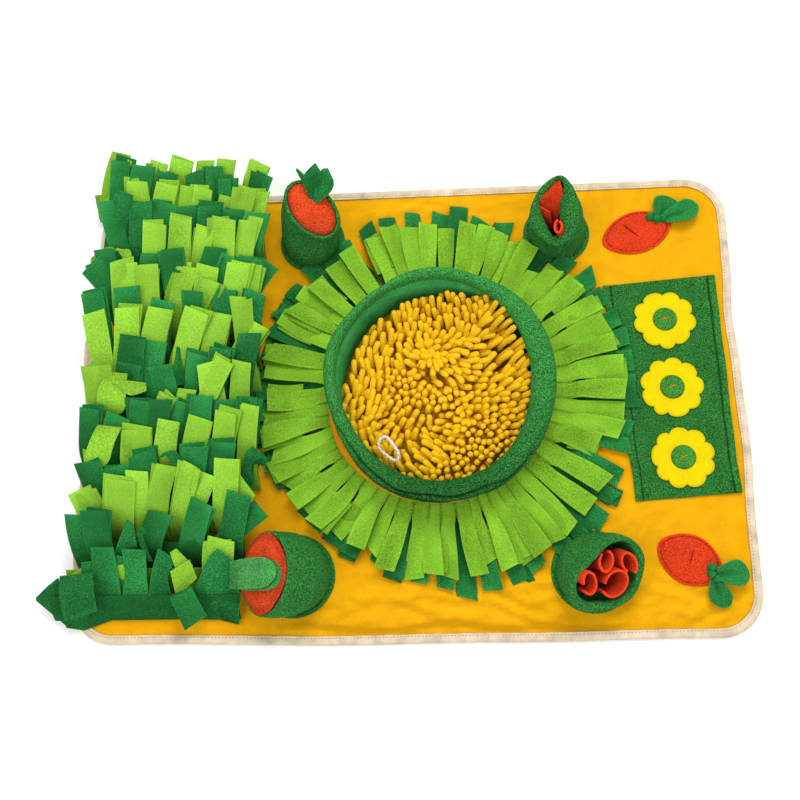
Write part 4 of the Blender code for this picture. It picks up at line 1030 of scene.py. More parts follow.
def build_grass(context):
    thick = context.scene.snuffle_mat.fleece_thick
    for number, strips in enumerate(GRASS, 1):
        rng, shade = random.Random(300 + number), GRASS_SHADES[number % 2]
        y = (GRASS_FIRST_Y + GRASS_PITCH * (number - 1)) * MM
        bm = new_mesh()
        cut, order = [], sorted(strips)
        loose = [Ruled(sections, end, rng) for row, end, sections in FREE_STRIPS if row == number]
        roots = [row[0] * MM for row in order] + [strip.root_x for strip in loose]
        held = [row[0] * MM for row in order] or roots
        left, right = min(held) - BAND_PAST, max(held) + BAND_PAST
        pitch = (right - left) / max(len(order), 1)
        for strip in loose:
            cut_strip(bm, strip, thick, rng.uniform(-0.06, 0.06), rng.choice((0.0, 0.4)), along=18)
            cut.append(strip)
        for i, (root_x, tip_x, tip_y, width) in enumerate(order):
            root_x = blend(root_x * MM, left + pitch * (i + 0.5), 0.5)
            over = (i % 2) * 2.2 * thick + rng.uniform(-0.3, 0.3) * MM
            spin, cup = math.radians(rng.uniform(-9, 9)), rng.uniform(-2.4, 3.4) * MM
            curl = rng.choice((0, 0, 0, 3, 6, -2)) * MM
            nap, tone = rng.choice((-0.4, -0.2, 0.1)), rng.uniform(-0.09, 0.09)
            tip = grass_tip(tip_x, tip_y, y, over)
            for layer in range(2 if rng.random() < SECOND_LAYERS else 1):
                if layer:
                    tip = tip + Vector((rng.uniform(-7, 7), rng.uniform(-2, 6), 0)) * MM
                strip = Blade(
                    root_x, y, tip, width * MM, min(pitch, 1.2 * width * MM), rng,
                    over=over - 1.1 * thick * layer, spin=spin, cup=cup, curl=curl,
                )
                # the second layer, lying under the first, is darkened with painted shade
                cut_strip(bm, strip, thick, tone - 0.12 * layer, nap)
                cut.append(strip)

        def band(u, v):
            back = BAND_SHOWS * v
            return Vector((blend(left, right, u), y + back, grass_height(back) - 5 * thick * ease(2 * v)))

        # the band low between the rows is darkened with painted shade
        _, faces = sheet(bm, 24, 8, band, tone=-0.2)
        thicken(bm, faces, BAND_THICK)
        area = sum(strip.long * strip.width for strip in cut) + (right - left) * BAND_CLOTH * MM
        name = f"grass_strips_{number:02d}"
        piece = dress(name, bm, cloth(f"{shade}_fleece"), f"{shade}_fleece", [f"grass_row_{number:02d}"])
        flat = (right - left, 2 * max(strip.long for strip in cut) + BAND_FOLD)
        area = min(area, flat[0] * flat[1])


class SNUFFLE_OT_grass(bpy.types.Operator):
    """Rows of fleece bands cut into strips, most of them with a second layer behind"""

    bl_idname = "snuffle_mat.grass"
    bl_label = "Grass rows"

    def execute(self, context):
        build_grass(context)
        return {"FINISHED"}


# Skirts ------------------------


def table_at(table, angle):
    """Value at one angle of a table of angles and values, with straight lines between."""
    angle %= 360
    for (a, first), (b, second) in zip(table, table[1:]):
        if a <= angle <= b:
            return blend(first, second, (angle - a) / (b - a))
    return table[0][1]


def make_skirt(name, node, cloth_name, slot, petals, heights, thick, seed):
    """A ring of cloth with its outer part slit into petals. Petals are tip angle, reach, width, turn and tip
    height, in order round the bowl. Heights are the ring's height at the wall and where the slits start."""
    rng = random.Random(seed)
    foot_z, band_z = heights
    bm = new_mesh()
    edges, cuts, reaches = [], [], []
    for i, (angle, reach, *_) in enumerate(petals):
        before = petals[i - 1]
        edges.append(math.radians((angle + before[0] - (360 if i == 0 else 0)) / 2))
        cuts.append(table_at(SLIT_STARTS, math.degrees(edges[-1])) + rng.uniform(-0.06, 0.06))
        reaches.append((reach + before[1]) / 2 * MM)
    edges.append(edges[0] + math.tau)
    cuts.append(cuts[0])
    reaches.append(reaches[0])

    for i, (angle, reach, width, turn, tip_z) in enumerate(petals):
        reach, width = reach * MM, width * PETAL_FULL * table_at(PETAL_SPREAD, angle) * MM
        start = BOWL + polar(SKIRT_FOOT, (edges[i] + edges[i + 1]) / 2, foot_z)
        tip = BOWL + polar(reach, math.radians(angle), tip_z * MM)
        rise = math.atan2((band_z - foot_z) * 0.8, SKIRT_BAND - SKIRT_FOOT)
        fall, root_width = math.radians(rng.uniform(-14, 10)), SKIRT_FOOT * (edges[i + 1] - edges[i]) * 0.92
        cup, spin = rng.uniform(-2.6, 2.2) * MM, math.radians(rng.uniform(0, 16))
        strip = Strip(start, tip, width, rise, fall, rng, root_width, spin, cup, flare=1.15)
        swing = math.radians(turn)

        def place(u, v, i=i, strip=strip, swing=swing):
            side = blend(edges[i], edges[i + 1], u)
            radius = blend(SKIRT_FOOT, blend(reaches[i], reaches[i + 1], u), v)
            drop = (radius - SKIRT_FOOT) / (SKIRT_BAND - SKIRT_FOOT)
            waves = ripple(polar(radius, side), 40 * MM, 1.0 * MM, seed)
            height = blend(foot_z, band_z, min(drop, 1.6)) + waves
            height += ripple(polar(9, side), 1, 2.2 * MM, seed) * ease(drop)
            band = BOWL + polar(radius, side, max(height, SEAT + SKIRT_CLEAR))
            middle = strip.middle(v)
            turned = Matrix.Rotation(swing * ease(1.4 * v - 0.4), 3, "Z")
            own = middle + turned @ (strip.place(1 - u, v) - middle)
            cut = blend(cuts[i], cuts[i + 1], u)
            return band.lerp(own, ease((v - cut) / SLIT_OPENS))

        def shade(u, v, tone=rng.uniform(-0.08, 0.08), ends=(cuts[i], cuts[i + 1]), i=i):
            # painted highlight where it is cut, painted shade in the crease that runs on from each slit and
            # near the bowl, and soft painted light and shade over the petal's folds
            side = 0.0
            if u < 0.01 or u > 0.99:
                side = blend(-CREASE_PAINTED_SHADE, CUT_EDGE_HIGHLIGHT, ease((v - ends[u > 0.5]) / SLIT_OPENS))
            soft = PETAL_FOLD_PAINTED_LIGHT * noise.noise(Vector((1.3 * u, 2.4 * v, 7.3 * i)))
            return tone + soft + (CUT_EDGE_HIGHLIGHT if v > 0.99 else side) - 0.1 * (1 - ease(5 * v))

        sheet(bm, 6, 20, place, tone=shade, nap=rng.choice((-0.3, 0, 0.3)))
        if rng.random() < table_at(TWIN_SHARE, angle):
            # second layer that looks out beside its petal, darkened with painted shade
            reach += rng.uniform(-3, 5) * MM
            tip = BOWL + polar(reach, math.radians(angle + rng.uniform(-2, 2)), tip_z * MM)
            start = start.lerp(tip, 0.45) - UP * TWIN_START
            fall, spin = math.radians(rng.uniform(-8, 4)), math.radians(rng.uniform(-8, 8))
            twin = Strip(start, tip - UP * TWIN_TIP, width, 0, fall, rng, spin=spin)
            sheet(bm, 4, 10, lambda u, v, twin=twin: twin.place(1 - u, v), tone=-0.08)
    bmesh.ops.remove_doubles(bm, verts=bm.verts, dist=0.01 * MM)
    thicken_down(bm, thick)
    piece = dress(name, bm, cloth(cloth_name), slot, [node])


def build_skirts(context):
    thick = context.scene.snuffle_mat.fleece_thick
    rng = random.Random(17)
    light = []
    for i, (angle, reach, width, turn) in enumerate(LIGHT_PETALS):
        # every other tip lies higher, and all of them do at the far side
        far = max(0, math.cos(math.radians(angle - 92)))
        high = 12 + 5 * (i % 2) + rng.uniform(-0.5, 4) + 5 * far**2
        light.append((angle, reach, width, turn, high))
    names = ("skirt_petals_light", "skirt_light", "skirt_fleece", "light_fleece")
    make_skirt(*names, light, (24 * MM, 18 * MM), thick, 5)
    dark = []
    for i in range(DARK_PETALS):
        angle = 360 * (i + 0.5) / DARK_PETALS + rng.uniform(-1.5, 1.5)
        reach = table_at(DARK_REACH, angle) + rng.uniform(-7, 4)
        dark.append((angle, reach, rng.uniform(18, 25), rng.uniform(-24, 24), 8 + 1.8 * (i % 2)))
    names = ("skirt_petals_dark", "skirt_dark", "dark_fleece", "dark_fleece")
    make_skirt(*names, dark, (13 * MM, 9.5 * MM), thick, 9)


class SNUFFLE_OT_skirts(bpy.types.Operator):
    """Two rings of petals round the bowl's foot"""

    bl_idname = "snuffle_mat.skirts"
    bl_label = "Petal skirts"

    def execute(self, context):
        build_skirts(context)
        return {"FINISHED"}


# Bowl ------------------------


def rim_at(angle):
    """Middle radius, half width and middle height of the padded roll at one angle."""
    half = RIM_HALF_WIDE + RIM_SWELL * math.cos(angle - RIM_FAT) + RIM_RIPPLE * math.sin(3 * angle + 1)
    outer = RIM_OUTER - RIM_OVAL * math.cos(2 * angle) + RIM_RIPPLE * math.sin(5 * angle)
    height = RIM_MIDDLE + RIM_LIFT * math.cos(angle - RIM_HIGH) + 2 * RIM_RIPPLE * math.sin(3 * angle)
    return outer - half, half, height


def rim_shift(angle, turn):
    """How far one place of the soft roll leaves its round."""
    degrees = math.degrees(angle)
    near = [degrees - RIM_SHIFT_SOFT, degrees, degrees + RIM_SHIFT_SOFT]
    outer = sum(table_at(RIM_OUTER_SHIFT, place) for place in near) / 3
    inner = sum(table_at(RIM_INNER_SHIFT, place) for place in near) / 3
    return blend(inner, outer, 0.5 + 0.5 * math.cos(turn)) * MM


def rim_crease(angle, turn):
    """Depth of the creases at one place of the roll."""
    near = max(0, math.cos(angle - RIM_CREASED)) ** 1.2
    deep = 0.0
    for place, most, wander in RIM_CREASES:
        path = place + wander * noise.noise(polar(2.2, angle, place))
        apart = (math.degrees(turn) - path + 180) % 360 - 180
        deep += most * hump(apart, RIM_CREASE_WIDE)
    return near * deep * MM


def wall_top(angle):
    return rim_at(angle)[2] - RIM_FLAT * RIM_HALF_HIGH - GAP


def lining_inside(angle, height):
    """Radius of the lining's inner face, which leans out from its foot to the rim."""
    share = (height - SEAT) / (wall_top(angle) - SEAT)
    return blend(LINING_FOOT, WALL_OUTER - WALL_THIN - GAP - LINING_THICK, share)


def pad_height(share, angle):
    """Height of the lumpy pile at a share of the pad's radius."""
    lump = math.sin(5 * angle + 9 * share) + math.sin(11 * share * math.pi - 3 * angle)
    tilt = PAD_TILT * share * math.cos(angle - RIM_HIGH)
    return PAD_EDGE + tilt + PAD_DOME * (1 - share**2) + PAD_LUMP * lump / 2


def pad_radius(angle):
    return lining_inside(angle, pad_height(1, angle)) - PAD_CLEAR


def pile_top(x, y):
    """Height of the pile at a place measured from the bowl's middle."""
    angle = math.atan2(y, x)
    return pad_height(min(1, math.hypot(x, y) / pad_radius(angle)), angle)


def build_bowl():
    wall = new_mesh()
    # share of the wall's thickness outwards and of its height: up outside, over the top and down inside
    profile = [(1, rise / 8) for rise in range(9)] + [(0.5, 1.02), (0, 1), (0, 0.5), (0, 0)]
    steps = len(profile)

    def wall_spot(u, v):
        angle = math.tau * u
        out, rise = profile[round(v * steps) % steps]
        height = blend(SEAT, wall_top(angle), min(rise, 1))
        inner = lining_inside(angle, height) + LINING_THICK + GAP
        waves = ripple(polar(4, angle, rise), 1, 0.4 * MM, 2) * (rise > 0.3)
        radius = blend(inner, WALL_OUTER, out) + waves
        bag = table_at(WALL_BAGS, math.degrees(angle)) * MM
        radius += out * bag * hump(height - BAG_HEIGHT, BAG_HALF)
        return BOWL + polar(radius, angle, height)

    tube(wall, 120, steps, wall_spot)
    piece = dress("bowl_side", wall, cloth("wall_fleece"), "wall_fleece", ["bowl_wall"])

    lining = new_mesh()

    def lining_spot(u, v):
        angle = math.tau * u
        height = blend(SEAT, wall_top(angle) + LINING_OVER, v)
        radius = lining_inside(angle, height) + 0.5 * LINING_THICK
        crease = LINING_FOLD * hump(math.degrees(angle) - LINING_FOLD_AT, LINING_FOLD_HALF)
        radius += (ripple(polar(7, angle, 3 * v), 1, 0.9 * MM, 5) - crease) * ease(3 * v)
        radius += LINING_OVER * ease((height - wall_top(angle)) / (4 * MM)) - GAP
        return BOWL + polar(radius, angle, height)

    sheet(lining, 180, 12, lining_spot)
    bmesh.ops.remove_doubles(lining, verts=lining.verts, dist=TINY)
    thicken(lining, list(lining.faces), 1.6 * MM)
    piece = dress("bowl_inside_cloth", lining, cloth("lining_fleece"), "dark_fleece", ["bowl_lining"])

    rim = new_mesh()

    def rim_spot(u, v):
        angle, turn = math.tau * u, math.tau * v
        middle, half, height = rim_at(angle)
        pull = 1 + 0.05 * noise.noise(polar(9, angle, 0.7 * math.cos(turn)))
        low = max(-RIM_FLAT, math.sin(turn))
        out = half * math.cos(turn) * pull
        if out < 0:
            out *= 1 - RIM_THINNING * max(0, math.cos(angle - RIM_THIN))
        pinch = 1 - RIM_PINCH * hump(math.degrees(angle) - RIM_PINCH_AT, RIM_PINCH_HALF)
        # soft lengthwise creases wander round the near side
        deep = rim_crease(angle, turn)
        spot = polar(middle + out * pinch - deep * math.cos(turn) + rim_shift(angle, turn), angle)
        spot.z = height + (RIM_HALF_HIGH * low * pull - deep * max(0, math.sin(turn))) * pinch
        return BOWL + spot

    def rim_shade(u, v):
        angle, turn = math.tau * u, math.tau * v
        # painted light and shade round the bowl, and painted shade in the creases
        return table_at(RIM_PAINTED_LIGHT, math.degrees(angle)) - RIM_CREASE_PAINTED_SHADE * rim_crease(angle, turn) / MM

    tube(rim, 260, 64, rim_spot, tone=rim_shade)
    piece = dress("rim_roll", rim, cloth("nubby_fleece"), "dark_fleece", ["bowl_rim"])


class SNUFFLE_OT_bowl(bpy.types.Operator):
    """Padded wall, lining and rolled rim"""

    bl_idname = "snuffle_mat.bowl"
    bl_label = "Bowl"

    def execute(self, context):
        build_bowl()
        return {"FINISHED"}


def flow_at(x, y):
    """Direction and flatness of the noodles at one place, from the nearest spots of the flow table."""
    total, ahead, flat = 0.0, Vector((0, 0)), 0.0
    for spot_x, spot_y, heading, lying in NOODLE_FLOW:
        near = 1 / (((x / MM - spot_x) ** 2 + (y / MM - spot_y) ** 2) ** 2 + 400)
        total += near
        turn = math.radians(heading)
        ahead += Vector((math.cos(turn), math.sin(turn))) * near
        flat += lying * near
    return math.atan2(ahead.y, ahead.x), flat / total


NOODLE_TRIES = 26000
PILE_REACH = 97 * MM  # radius that the noodles' tips are spread over


def noodle_tips(rng, gap, near_edge):
    """Tips spread over the pile: far apart along the flow where the noodles lie, close where they stand."""
    spots, kept = np.zeros((0, 2)), []
    for _ in range(NOODLE_TRIES):
        radius = math.sqrt(rng.random()) * PILE_REACH
        angle = rng.uniform(0, math.tau)
        x, y = radius * math.cos(angle), radius * math.sin(angle)
        if radius > pad_radius(angle) - near_edge:
            continue
        heading, flat = flow_at(x, y)
        if len(kept):
            away = spots - (x, y)
            along = away @ (math.cos(heading), math.sin(heading)) / (gap * (1 + 1.3 * flat * flat))
            across = away @ (-math.sin(heading), math.cos(heading)) / (gap * 0.92)
            if (along**2 + across**2).min() < 1:
                continue
        kept.append((x, y, heading, flat))
        spots = np.vstack([spots, (x, y)])
    return kept


NOODLE_SIDES, NOODLE_RINGS, NOODLE_STEPS = 6, 7, 12
FAR_NOODLE_DARK = 0.2  # tone lost where the rim shades the pile
# Layers of noodles: how far below the pile's top, how far apart, and tone, the deeper layer darker with
# painted shade
NOODLE_LAYERS = ((0, 6.0 * MM, 0.2), (5.5 * MM, 6.8 * MM, -0.05))
# How far the tips rise: at random at least and at most, where they lie flat, and under the rim's far side
TIP_LOW, TIP_HIGH, TIP_FLAT, TIP_FAR = -1.5, 2.5, 4 * MM, 13 * MM
# Share of the length and of the thickness at each ring of a noodle, from its tip
NOODLE_SHAPE = (
    (0.0, 0.0), (0.03, 0.82), (0.12, 1.04), (0.32, 0.97), (0.55, 1.03), (0.78, 0.97), (0.97, 0.8), (1.0, 0.0),
)


def noodle_blank():
    """Round ball that each noodle is drawn out from."""
    bm = new_mesh()
    bmesh.ops.create_uvsphere(bm, u_segments=NOODLE_SIDES, v_segments=NOODLE_RINGS, radius=1)
    blank = bpy.data.meshes.new("noodle_blank")
    bm.to_mesh(blank)
    bm.free()
    return blank


def add_noodle(bm, blank, tip, heading, flat, thick, long, rng, tone):
    """One noodle: upright at its root, bending over towards its tip."""
    before = len(bm.verts)
    bm.from_mesh(blank)
    bm.verts.ensure_lookup_table()
    made = bm.verts[before:]
    tones = bm.verts.layers.float["tone"]
    slope = math.radians(90 - 78 * flat + rng.uniform(-10, 10))
    heading += math.radians(rng.uniform(-22, 22))
    curl = math.radians(rng.uniform(-35, 35)) * flat
    # walk back from the tip, turning down towards the root, which stays above the mat
    spots, aheads = [tip.copy()], []
    for step in range(NOODLE_STEPS):
        share = step / NOODLE_STEPS
        now = blend(slope, math.radians(88), ease(1.5 * share - 0.2) if flat > 0.3 else share)
        aheads.append(polar(math.cos(now), heading + curl * share, math.sin(now)))
    drop = sum(ahead.z for ahead in aheads) / NOODLE_STEPS
    long = min(long, (tip.z - SEAT - thick / 2) / drop)
    for ahead in aheads:
        spots.append(spots[-1] - ahead * long / NOODLE_STEPS)
    aheads.append(aheads[-1])
    for vert in made:
        ring = round(math.acos(min(1, max(-1, vert.co.z))) / math.pi * NOODLE_RINGS)
        share, fat = NOODLE_SHAPE[ring]
        ahead = route_point(aheads, share).normalized()
        side = ahead.cross(UP)
        side = side.normalized() if side.length > 0.05 else Vector((1, 0, 0))
        turn = math.atan2(vert.co.y, vert.co.x)
        vert.co = route_point(spots, share) + ring_point(side, side.cross(ahead), turn, fat) * thick / 2
        # painted shade darkens each noodle towards its root, down in the pile
        vert[tones] = tone - 0.3 * ease(1.4 * share)


def build_noodles(context):
    sizes = context.scene.snuffle_mat
    rng = random.Random(41)
    bm, blank = new_mesh(), noodle_blank()
    for drop, gap, tone in NOODLE_LAYERS:
        for x, y, heading, flat in noodle_tips(rng, gap, sizes.noodle_thick * 0.2):
            share, turn = math.hypot(x, y) / pad_radius(0), math.atan2(y, x)
            far = ease((share - 0.55) * 2.2) * (0.5 + 0.5 * math.cos(turn - 1.2))
            rise = rng.uniform(TIP_LOW, TIP_HIGH) * MM + TIP_FLAT * flat + TIP_FAR * far
            edge = ease((share - 0.45) * 2)
            turn = math.degrees(turn)
            rise += table_at(PILE_UP, turn) * MM * edge
            tip = BOWL + Vector((x, y, pile_top(x, y) + rise - drop))
            tip += Vector((x, y, 0)).normalized() * table_at(PILE_OUT, turn) * MM * edge
            shade = tone + rng.uniform(-0.06, 0.06) - FAR_NOODLE_DARK * far
            add_noodle(bm, blank, tip, heading, flat, sizes.noodle_thick, sizes.noodle_long, rng, shade)
    bpy.data.meshes.remove(blank)
    bmesh.ops.recalc_face_normals(bm, faces=bm.faces)
    # bed under the noodles, darkened with painted shade: its top from the middle outwards, then its side and
    # floor
    stops = [(share / 10, 0) for share in range(11)] + [(0.95, 0.6), (0.95, 1), (0, 1)]

    def bed(u, v):
        angle = math.tau * u
        share, low = stops[round(v * (len(stops) - 1))]
        spot = polar(pad_radius(angle) * share, angle)
        spot.z = blend(pad_height(share, angle) - PAD_BED, SEAT, low)
        return BOWL + spot

    tube(bm, 48, len(stops) - 1, bed, tone=-0.4)
    dress("noodle_pile", bm, cloth("chenille"), "chenille", ["noodle_pad"], sharp=0)


class SNUFFLE_OT_noodles(bpy.types.Operator):
    """Chenille noodles that fill the bowl"""

    bl_idname = "snuffle_mat.noodles"
    bl_label = "Chenille noodles"

    def execute(self, context):
        build_noodles(context)
        return {"FINISHED"}


def build_loop():
    stops = [millimetres(*stop) for stop in LOOP_ROUTE]
    route = smooth_route(stops, 4)
    far = route_length(route)
    bm = new_mesh()
    steps = len(route) * 3

    def place(u, v):
        i = min(int(v * (len(route) - 1)), len(route) - 2)
        before, after = route[max(i - 1, 0)], route[min(i + 2, len(route) - 1)]
        ahead = (after - before).normalized()
        side = ahead.cross(UP).normalized()
        turn = math.tau * u
        lobe = 1 + LOOP_TWIST_DEEP * math.cos(2 * turn - math.tau * v * far / LOOP_TWIST * 2)
        fat = LOOP_CORD / 2 * LOOP_STRAND * lobe if 0 < v < 1 else 0
        return route_point(route, v) + ring_point(side, side.cross(ahead), turn, fat)

    tube(bm, 18, steps, place)
    piece = dress("loop_cord", bm, cloth("white_cord"), "white_cord", ["pull_loop"])


class SNUFFLE_OT_loop(bpy.types.Operator):
    """White twisted cord loop that lies on the noodles"""

    bl_idname = "snuffle_mat.loop"
    bl_label = "Pull loop"

    def execute(self, context):
        build_loop()
        return {"FINISHED"}


# Pouches ------------------------


MOUTH_PARTS = 12  # points of a shaped mouth's edge from one of its table's points to the next


class Pouch:
    """Places points across one pouch, from its round foot (share 0) to its slanted mouth (share 1)."""

    def __init__(self, row):
        self.name, foot_x, foot_y, foot_r, x, y, z, long, short, turn, faces, tip = row
        self.foot = millimetres(foot_x, foot_y) + UP * (SEAT + FLANGE_HIGH)
        self.mouth = millimetres(x, y, z)
        self.foot_r, self.long, self.short = foot_r * MM, long * MM, short * MM
        self.turn, self.faces, self.tip = math.radians(turn), math.radians(faces), math.radians(tip)
        rings = MOUTHS.get(self.name, ())
        self.rings = [closed_route([millimetres(*stop) for stop in ring], MOUTH_PARTS) for ring in rings]

    def axis(self, share):
        tip = self.tip * share
        return polar(math.sin(tip), self.faces, math.cos(tip))

    def middle(self, share):
        reach = (self.mouth - self.foot).length / 2.2
        return bezier(self.foot, self.foot + UP * reach, self.mouth - self.axis(1) * reach, self.mouth, share)

    def edge(self, share, angle, inset=0.0, lift=0.0):
        """A point of the wall, drawn in by inset and pushed out along the axis by lift."""
        if self.rings:
            return self.shaped_edge(share, angle, inset, lift)
        bulge = POUCH_BULGE * math.sin(math.pi * min(max(share, 0), 1))
        long = blend(self.foot_r, self.long, share) + bulge - inset
        short = blend(self.foot_r, self.short, share) + bulge - inset
        return self.spot(share, long * math.cos(angle), short * math.sin(angle), lift)

    def shaped_edge(self, share, angle, inset, lift):
        """A point of the wall of a pouch whose mouth has its own outline."""
        spots = []
        for ring, foot_r in zip(self.rings, (self.foot_r, self.foot_r - POUCH_WALL)):
            top = route_point(ring, (angle / math.tau) % 1)
            foot = self.foot + polar(foot_r, angle)
            reach = (top - foot).length / 2.6
            spots.append(bezier(foot, foot + UP * reach, top - self.axis(1) * reach, top, share))
        outer, inner = spots
        wide = (inner - outer).length / POUCH_WALL
        return outer.lerp(inner, inset / POUCH_WALL) + self.axis(1) * lift * min(1.0 + 0.5 * (wide - 1), 2.2)

    def spot(self, share, along, across, lift=0.0):
        tilt = Matrix.Rotation(self.tip * share, 3, polar(1, self.faces + math.pi / 2))
        flat = Matrix.Rotation(self.turn, 3, "Z") @ Vector((along, across, 0))
        return self.middle(share) + self.axis(share) * lift + tilt @ flat

    def flange(self, angle, radius, height):
        foot = Vector((self.foot.x, self.foot.y, height))
        return foot + polar(radius, angle if self.rings else self.turn + angle)


def make_pouch(pouch, seed):
    """Fleece cup with a flat flange, a rolled edge and a cloth floor."""
    bm = new_mesh()
    wide = pouch.foot_r + FLANGE_WIDE
    # the flange's radius and height, then the wall's share of the height, inset and lift
    stops = [
        ("flange", 0, SEAT),
        ("flange", wide - 1 * MM, SEAT),
        ("flange", wide, SEAT + 1.2 * MM),
        ("flange", wide - 1 * MM, SEAT + FLANGE_HIGH),
        ("flange", pouch.foot_r + 1.2 * MM, SEAT + 2.6 * MM),
        ("flange", pouch.foot_r + 0.2 * MM, SEAT + 1.8 * MM),
        ("wall", 0.0, 0.6 * MM, 0.0),
    ]
    stops += [("wall", share, 0.0, 0.0) for share in (0.06, 0.16, 0.28, 0.4, 0.52, 0.64, 0.76, 0.88)]
    for step in range(7):
        turn = math.pi * step / 6
        inset = POUCH_WALL / 2 * (1 - math.cos(turn))
        stops.append(("wall", 1.0, inset, (0.2 + 1.6 * math.sin(turn)) * MM))
    stops += [("wall", share, POUCH_WALL, 0.0) for share in (0.88, 0.7, 0.5, 0.3, 0.12)]
    stops.append(("wall", FLOOR_SHARE, POUCH_WALL + 0.5 * MM, 0.2 * MM))
    inside = pouch.foot_r - POUCH_WALL
    stops += [("wall", FLOOR_SHARE, POUCH_WALL + inside * part, 0.2 * MM) for part in (0.4, 0.75, 1)]
    steps = len(stops) - 1

    def place(u, v):
        kind, *facts = stops[round(v * steps)]
        angle = math.tau * u
        if kind == "flange":
            return pouch.flange(angle, facts[0], facts[1])
        share, inset, lift = facts
        if share == FLOOR_SHARE and inset >= pouch.foot_r:
            return pouch.spot(share, 0, 0, lift)
        spot = pouch.edge(share, angle, inset, lift)
        dent = ripple(polar(2.2, angle, 2.5 * share), 1, 1.6 * MM, seed)
        dent *= math.sin(math.pi * min(1, share * 0.8 + 0.1))
        out = spot - pouch.middle(share)
        return spot + out.normalized() * dent * (0.3 < share < 1)

    tube(bm, 72, steps, place)
    piece = dress(f"{pouch.name}_cup", bm, cloth("nubby_fleece"), "dark_fleece", [pouch.name])


# Padded carrots: where they start, as a share of the pouch's height, and how high their middles stand
PLUG_FOOT, PLUG_CROWN = 0.42, 7.6 * MM


def make_plug(name, node, pouch, spread, lens, seed):
    """Padded carrot top that fills a pouch's mouth, spread over its edge and narrowed like a lens."""
    bm = new_mesh()
    inset, lifted = POUCH_WALL + 0.5 * MM, 0.5 * spread
    # share of the pouch's height, inset and lift: up inside the wall, out over its edge and over the crown
    stops = [
        (PLUG_FOOT, inset + 14 * MM, 0),
        (PLUG_FOOT, inset + 9 * MM, 0),
        (0.55, inset + 2.5 * MM, 0),
        (0.8, inset, 0),
        (1, inset, 0),
        (1, inset, 1.2 * MM),
        (1, inset - spread, 1.5 * MM + lifted),
        (1, inset + 1.5 * MM, 3 * MM + lifted),
    ]
    for deep, rise in ((5, 0.45), (9, 0.7), (14, 0.9), (20, 1.0)):
        stops.append((1, inset + deep * MM, (3 + 4.5 * rise) * MM + lifted))
    steps = len(stops) + 1

    def place(u, v):
        i = round(v * steps)
        if i == 0:
            return pouch.spot(PLUG_FOOT, 0, 0)
        if i > len(stops):
            return pouch.spot(1, 0, 0, PLUG_CROWN + lifted)
        share, deep, lift = stops[i - 1]
        angle = math.tau * u
        bulge = POUCH_BULGE * math.sin(math.pi * share)
        long = max(blend(pouch.foot_r, pouch.long, share) + bulge - deep, 3 * MM)
        short = max(blend(pouch.foot_r, pouch.short, share) + bulge - deep, 2 * MM)
        narrow = 1 - lens * math.cos(angle) ** 2 * (share == 1)
        spot = pouch.spot(share, long * math.cos(angle), short * math.sin(angle) * narrow, lift)
        return spot + pouch.axis(1) * ripple(spot, 18 * MM, 1.0 * MM, seed) * (i > 6)

    # painted shade down inside the pouch and over its edge, and a little painted light on the crown
    tube(bm, 48, steps, place, tone=lambda u, v: 0.06 - 0.22 * (v < 0.66))
    piece = dress(name, bm, cloth("carrot_fleece"), "carrot_fleece", [node])


def make_curl(name, node, pouch, roll, seed):
    """A strip of fleece curled into a loose tube that looks out of a pouch."""
    along, across, long, short, turn, start, sweep, out = roll
    spin = math.radians(turn)
    bm = new_mesh()

    def place(u, v):
        share = blend(FLOOR_SHARE, 1, v)
        angle = math.radians(start + sweep * u)
        grow = (1 - 0.16 * u) * (1 + 0.05 * ease(3 * v - 2))
        x, y = (long - 1) * MM * math.cos(angle) * grow, (short - 1) * MM * math.sin(angle) * grow
        x, y = x * math.cos(spin) - y * math.sin(spin), x * math.sin(spin) + y * math.cos(spin)
        lift = blend(0.6, out + 2.5 * math.sin(angle + seed), v) * MM
        tuck = blend(0.35 if abs(along) > 22 else 0.7, 1, ease(1.3 * v))
        return pouch.spot(share, along * MM * tuck + x, across * MM * tuck + y, lift)

    def shade(u, v):
        # a painted highlight on the cut rim, and painted shade deep inside the pouch
        return 0.3 if v > 0.99 else -0.4 * (1 - ease(1.3 * v - 0.1))

    _, faces = sheet(bm, 30, 14, place, tone=shade)
    thicken(bm, faces, 2.2 * MM)
    piece = dress(name, bm, cloth("roll_fleece"), "roll_fleece", [node])


# Leaf blades: share of the length where they are widest, and width left at the tip
BLADE_WIDEST, BLADE_TIP = 0.62, 0.12


def make_blade(bm, knot, heading, reach, rise, fall, width, rng, tone=0.0):
    """One rounded leaf blade from a sewn knot, creased along its middle."""
    tip = knot + polar(reach * math.cos((rise + fall) / 2), heading, reach * math.sin((rise + fall) / 2))
    strip = Strip(knot, tip, width, rise, fall, rng, cup=3.5 * MM)

    def place(u, v):
        # narrow at the root, widest past the middle, round at the tip
        if v < BLADE_WIDEST:
            fat = 0.5 + 0.5 * math.sin(math.pi * v / (2 * BLADE_WIDEST)) ** 1.1
        else:
            fat = max(0, math.cos((v - BLADE_WIDEST) / (1 - BLADE_WIDEST) * math.pi / 2)) ** 0.5
        return strip.place(0.5 + (u - 0.5) * max(fat, BLADE_TIP), v)

    def shade(u, v):
        # painted shade in the middle crease near the root, and painted highlights on the cut edges
        crease = hump(u - 0.5, 0.14) * (1 - ease(1.5 * v - 0.2))
        return tone - 0.35 * crease + 0.16 * (u < 0.01 or u > 0.99 or v > 0.99)

    _, faces = sheet(bm, 12, 14, place, tone=shade)
    thicken(bm, faces, 2 * MM)


